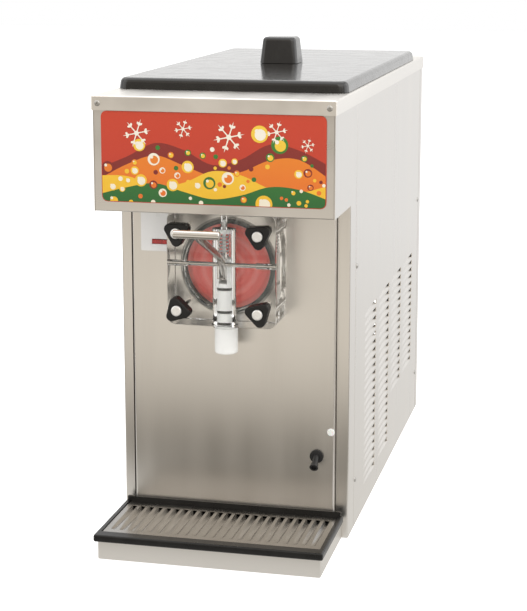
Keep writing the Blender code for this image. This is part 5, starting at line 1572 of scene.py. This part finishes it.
def make_camera():
    """The camera that the photograph's perspective asks for."""
    data = bpy.data.cameras.new("camera")
    data.lens = 97.55
    data.shift_y = -0.10
    data.clip_start, data.clip_end = 0.05, 50
    camera = bpy.data.objects.new("camera", data)
    bpy.context.scene.collection.objects.link(camera)
    camera.location = (0.5379, POSTS - 2.1343, 0.8134)
    camera.rotation_euler = (math.radians(90 - 10.528), 0, math.radians(13.128))
    bpy.context.scene.camera = camera


class DISPENSER_OT_stage(bpy.types.Operator):
    """Sets the floor, the lamps, the surround and the camera"""

    bl_idname = "dispenser.stage"
    bl_label = "Stage"

    def execute(self, context):
        make_floor()
        make_surround()
        power = setting("stage", "key")
        area_lamp("key_lamp", (1.6, -1.9, 2.3), (0, -0.1, 0.3), (2.8, 2.6), power, (1, 0.98, 0.95))
        area_lamp("side_lamp", (2.7, 0.6, 1.6), (0, 0, 0.3), (3.2, 2.6), 1.1 * power)
        area_lamp("top_lamp", (-0.3, 0.2, 2.7), (0, 0, 0.4), (3.4, 3.4), 1.1 * power)
        area_lamp("left_lamp", (-2.2, -1.6, 1.5), (0, -0.1, 0.3), (2.2, 2.4), 0.45 * power)
        make_camera()
        context.scene.view_settings.view_transform = "Standard"
        return {"FINISHED"}


# Add-on


class DISPENSER_PT_panel(bpy.types.Panel):
    """Lists the dispenser's settings and builders"""

    bl_label = "Frozen Drink Dispenser"
    bl_idname = "DISPENSER_PT_panel"
    bl_space_type = "VIEW_3D"
    bl_region_type = "UI"
    bl_category = "Dispenser"

    def draw(self, context):
        for group in SETTINGS:
            owner = getattr(context.scene, group)
            for name in owner.__annotations__:
                self.layout.prop(owner, name)
        for operator in OPERATORS:
            self.layout.operator(operator.bl_idname)


OPERATORS = (
    DISPENSER_OT_cabinet,
    DISPENSER_OT_screws,
    DISPENSER_OT_graphic,
    DISPENSER_OT_controls,
    DISPENSER_OT_drain,
    DISPENSER_OT_drip_tray,
    DISPENSER_OT_drip_grille,
    DISPENSER_OT_lid,
    DISPENSER_OT_barrel,
    DISPENSER_OT_clear_head,
    DISPENSER_OT_valve,
    DISPENSER_OT_handle,
    DISPENSER_OT_clamps,
    DISPENSER_OT_machinery,
    DISPENSER_OT_stage,
)


def register():
    for made in (*SETTINGS.values(), *OPERATORS, DISPENSER_PT_panel):
        bpy.utils.register_class(made)
    for name, group in SETTINGS.items():
        setattr(bpy.types.Scene, name, bpy.props.PointerProperty(type=group))


def unregister():
    for name in SETTINGS:
        delattr(bpy.types.Scene, name)
    for made in (DISPENSER_PT_panel, *reversed(OPERATORS), *SETTINGS.values()):
        bpy.utils.unregister_class(made)


def main():
    register()
    for operator in OPERATORS:
        group, name = operator.bl_idname.split(".")
        getattr(getattr(bpy.ops, group), name)()


if __name__ == "__main__":
    main()
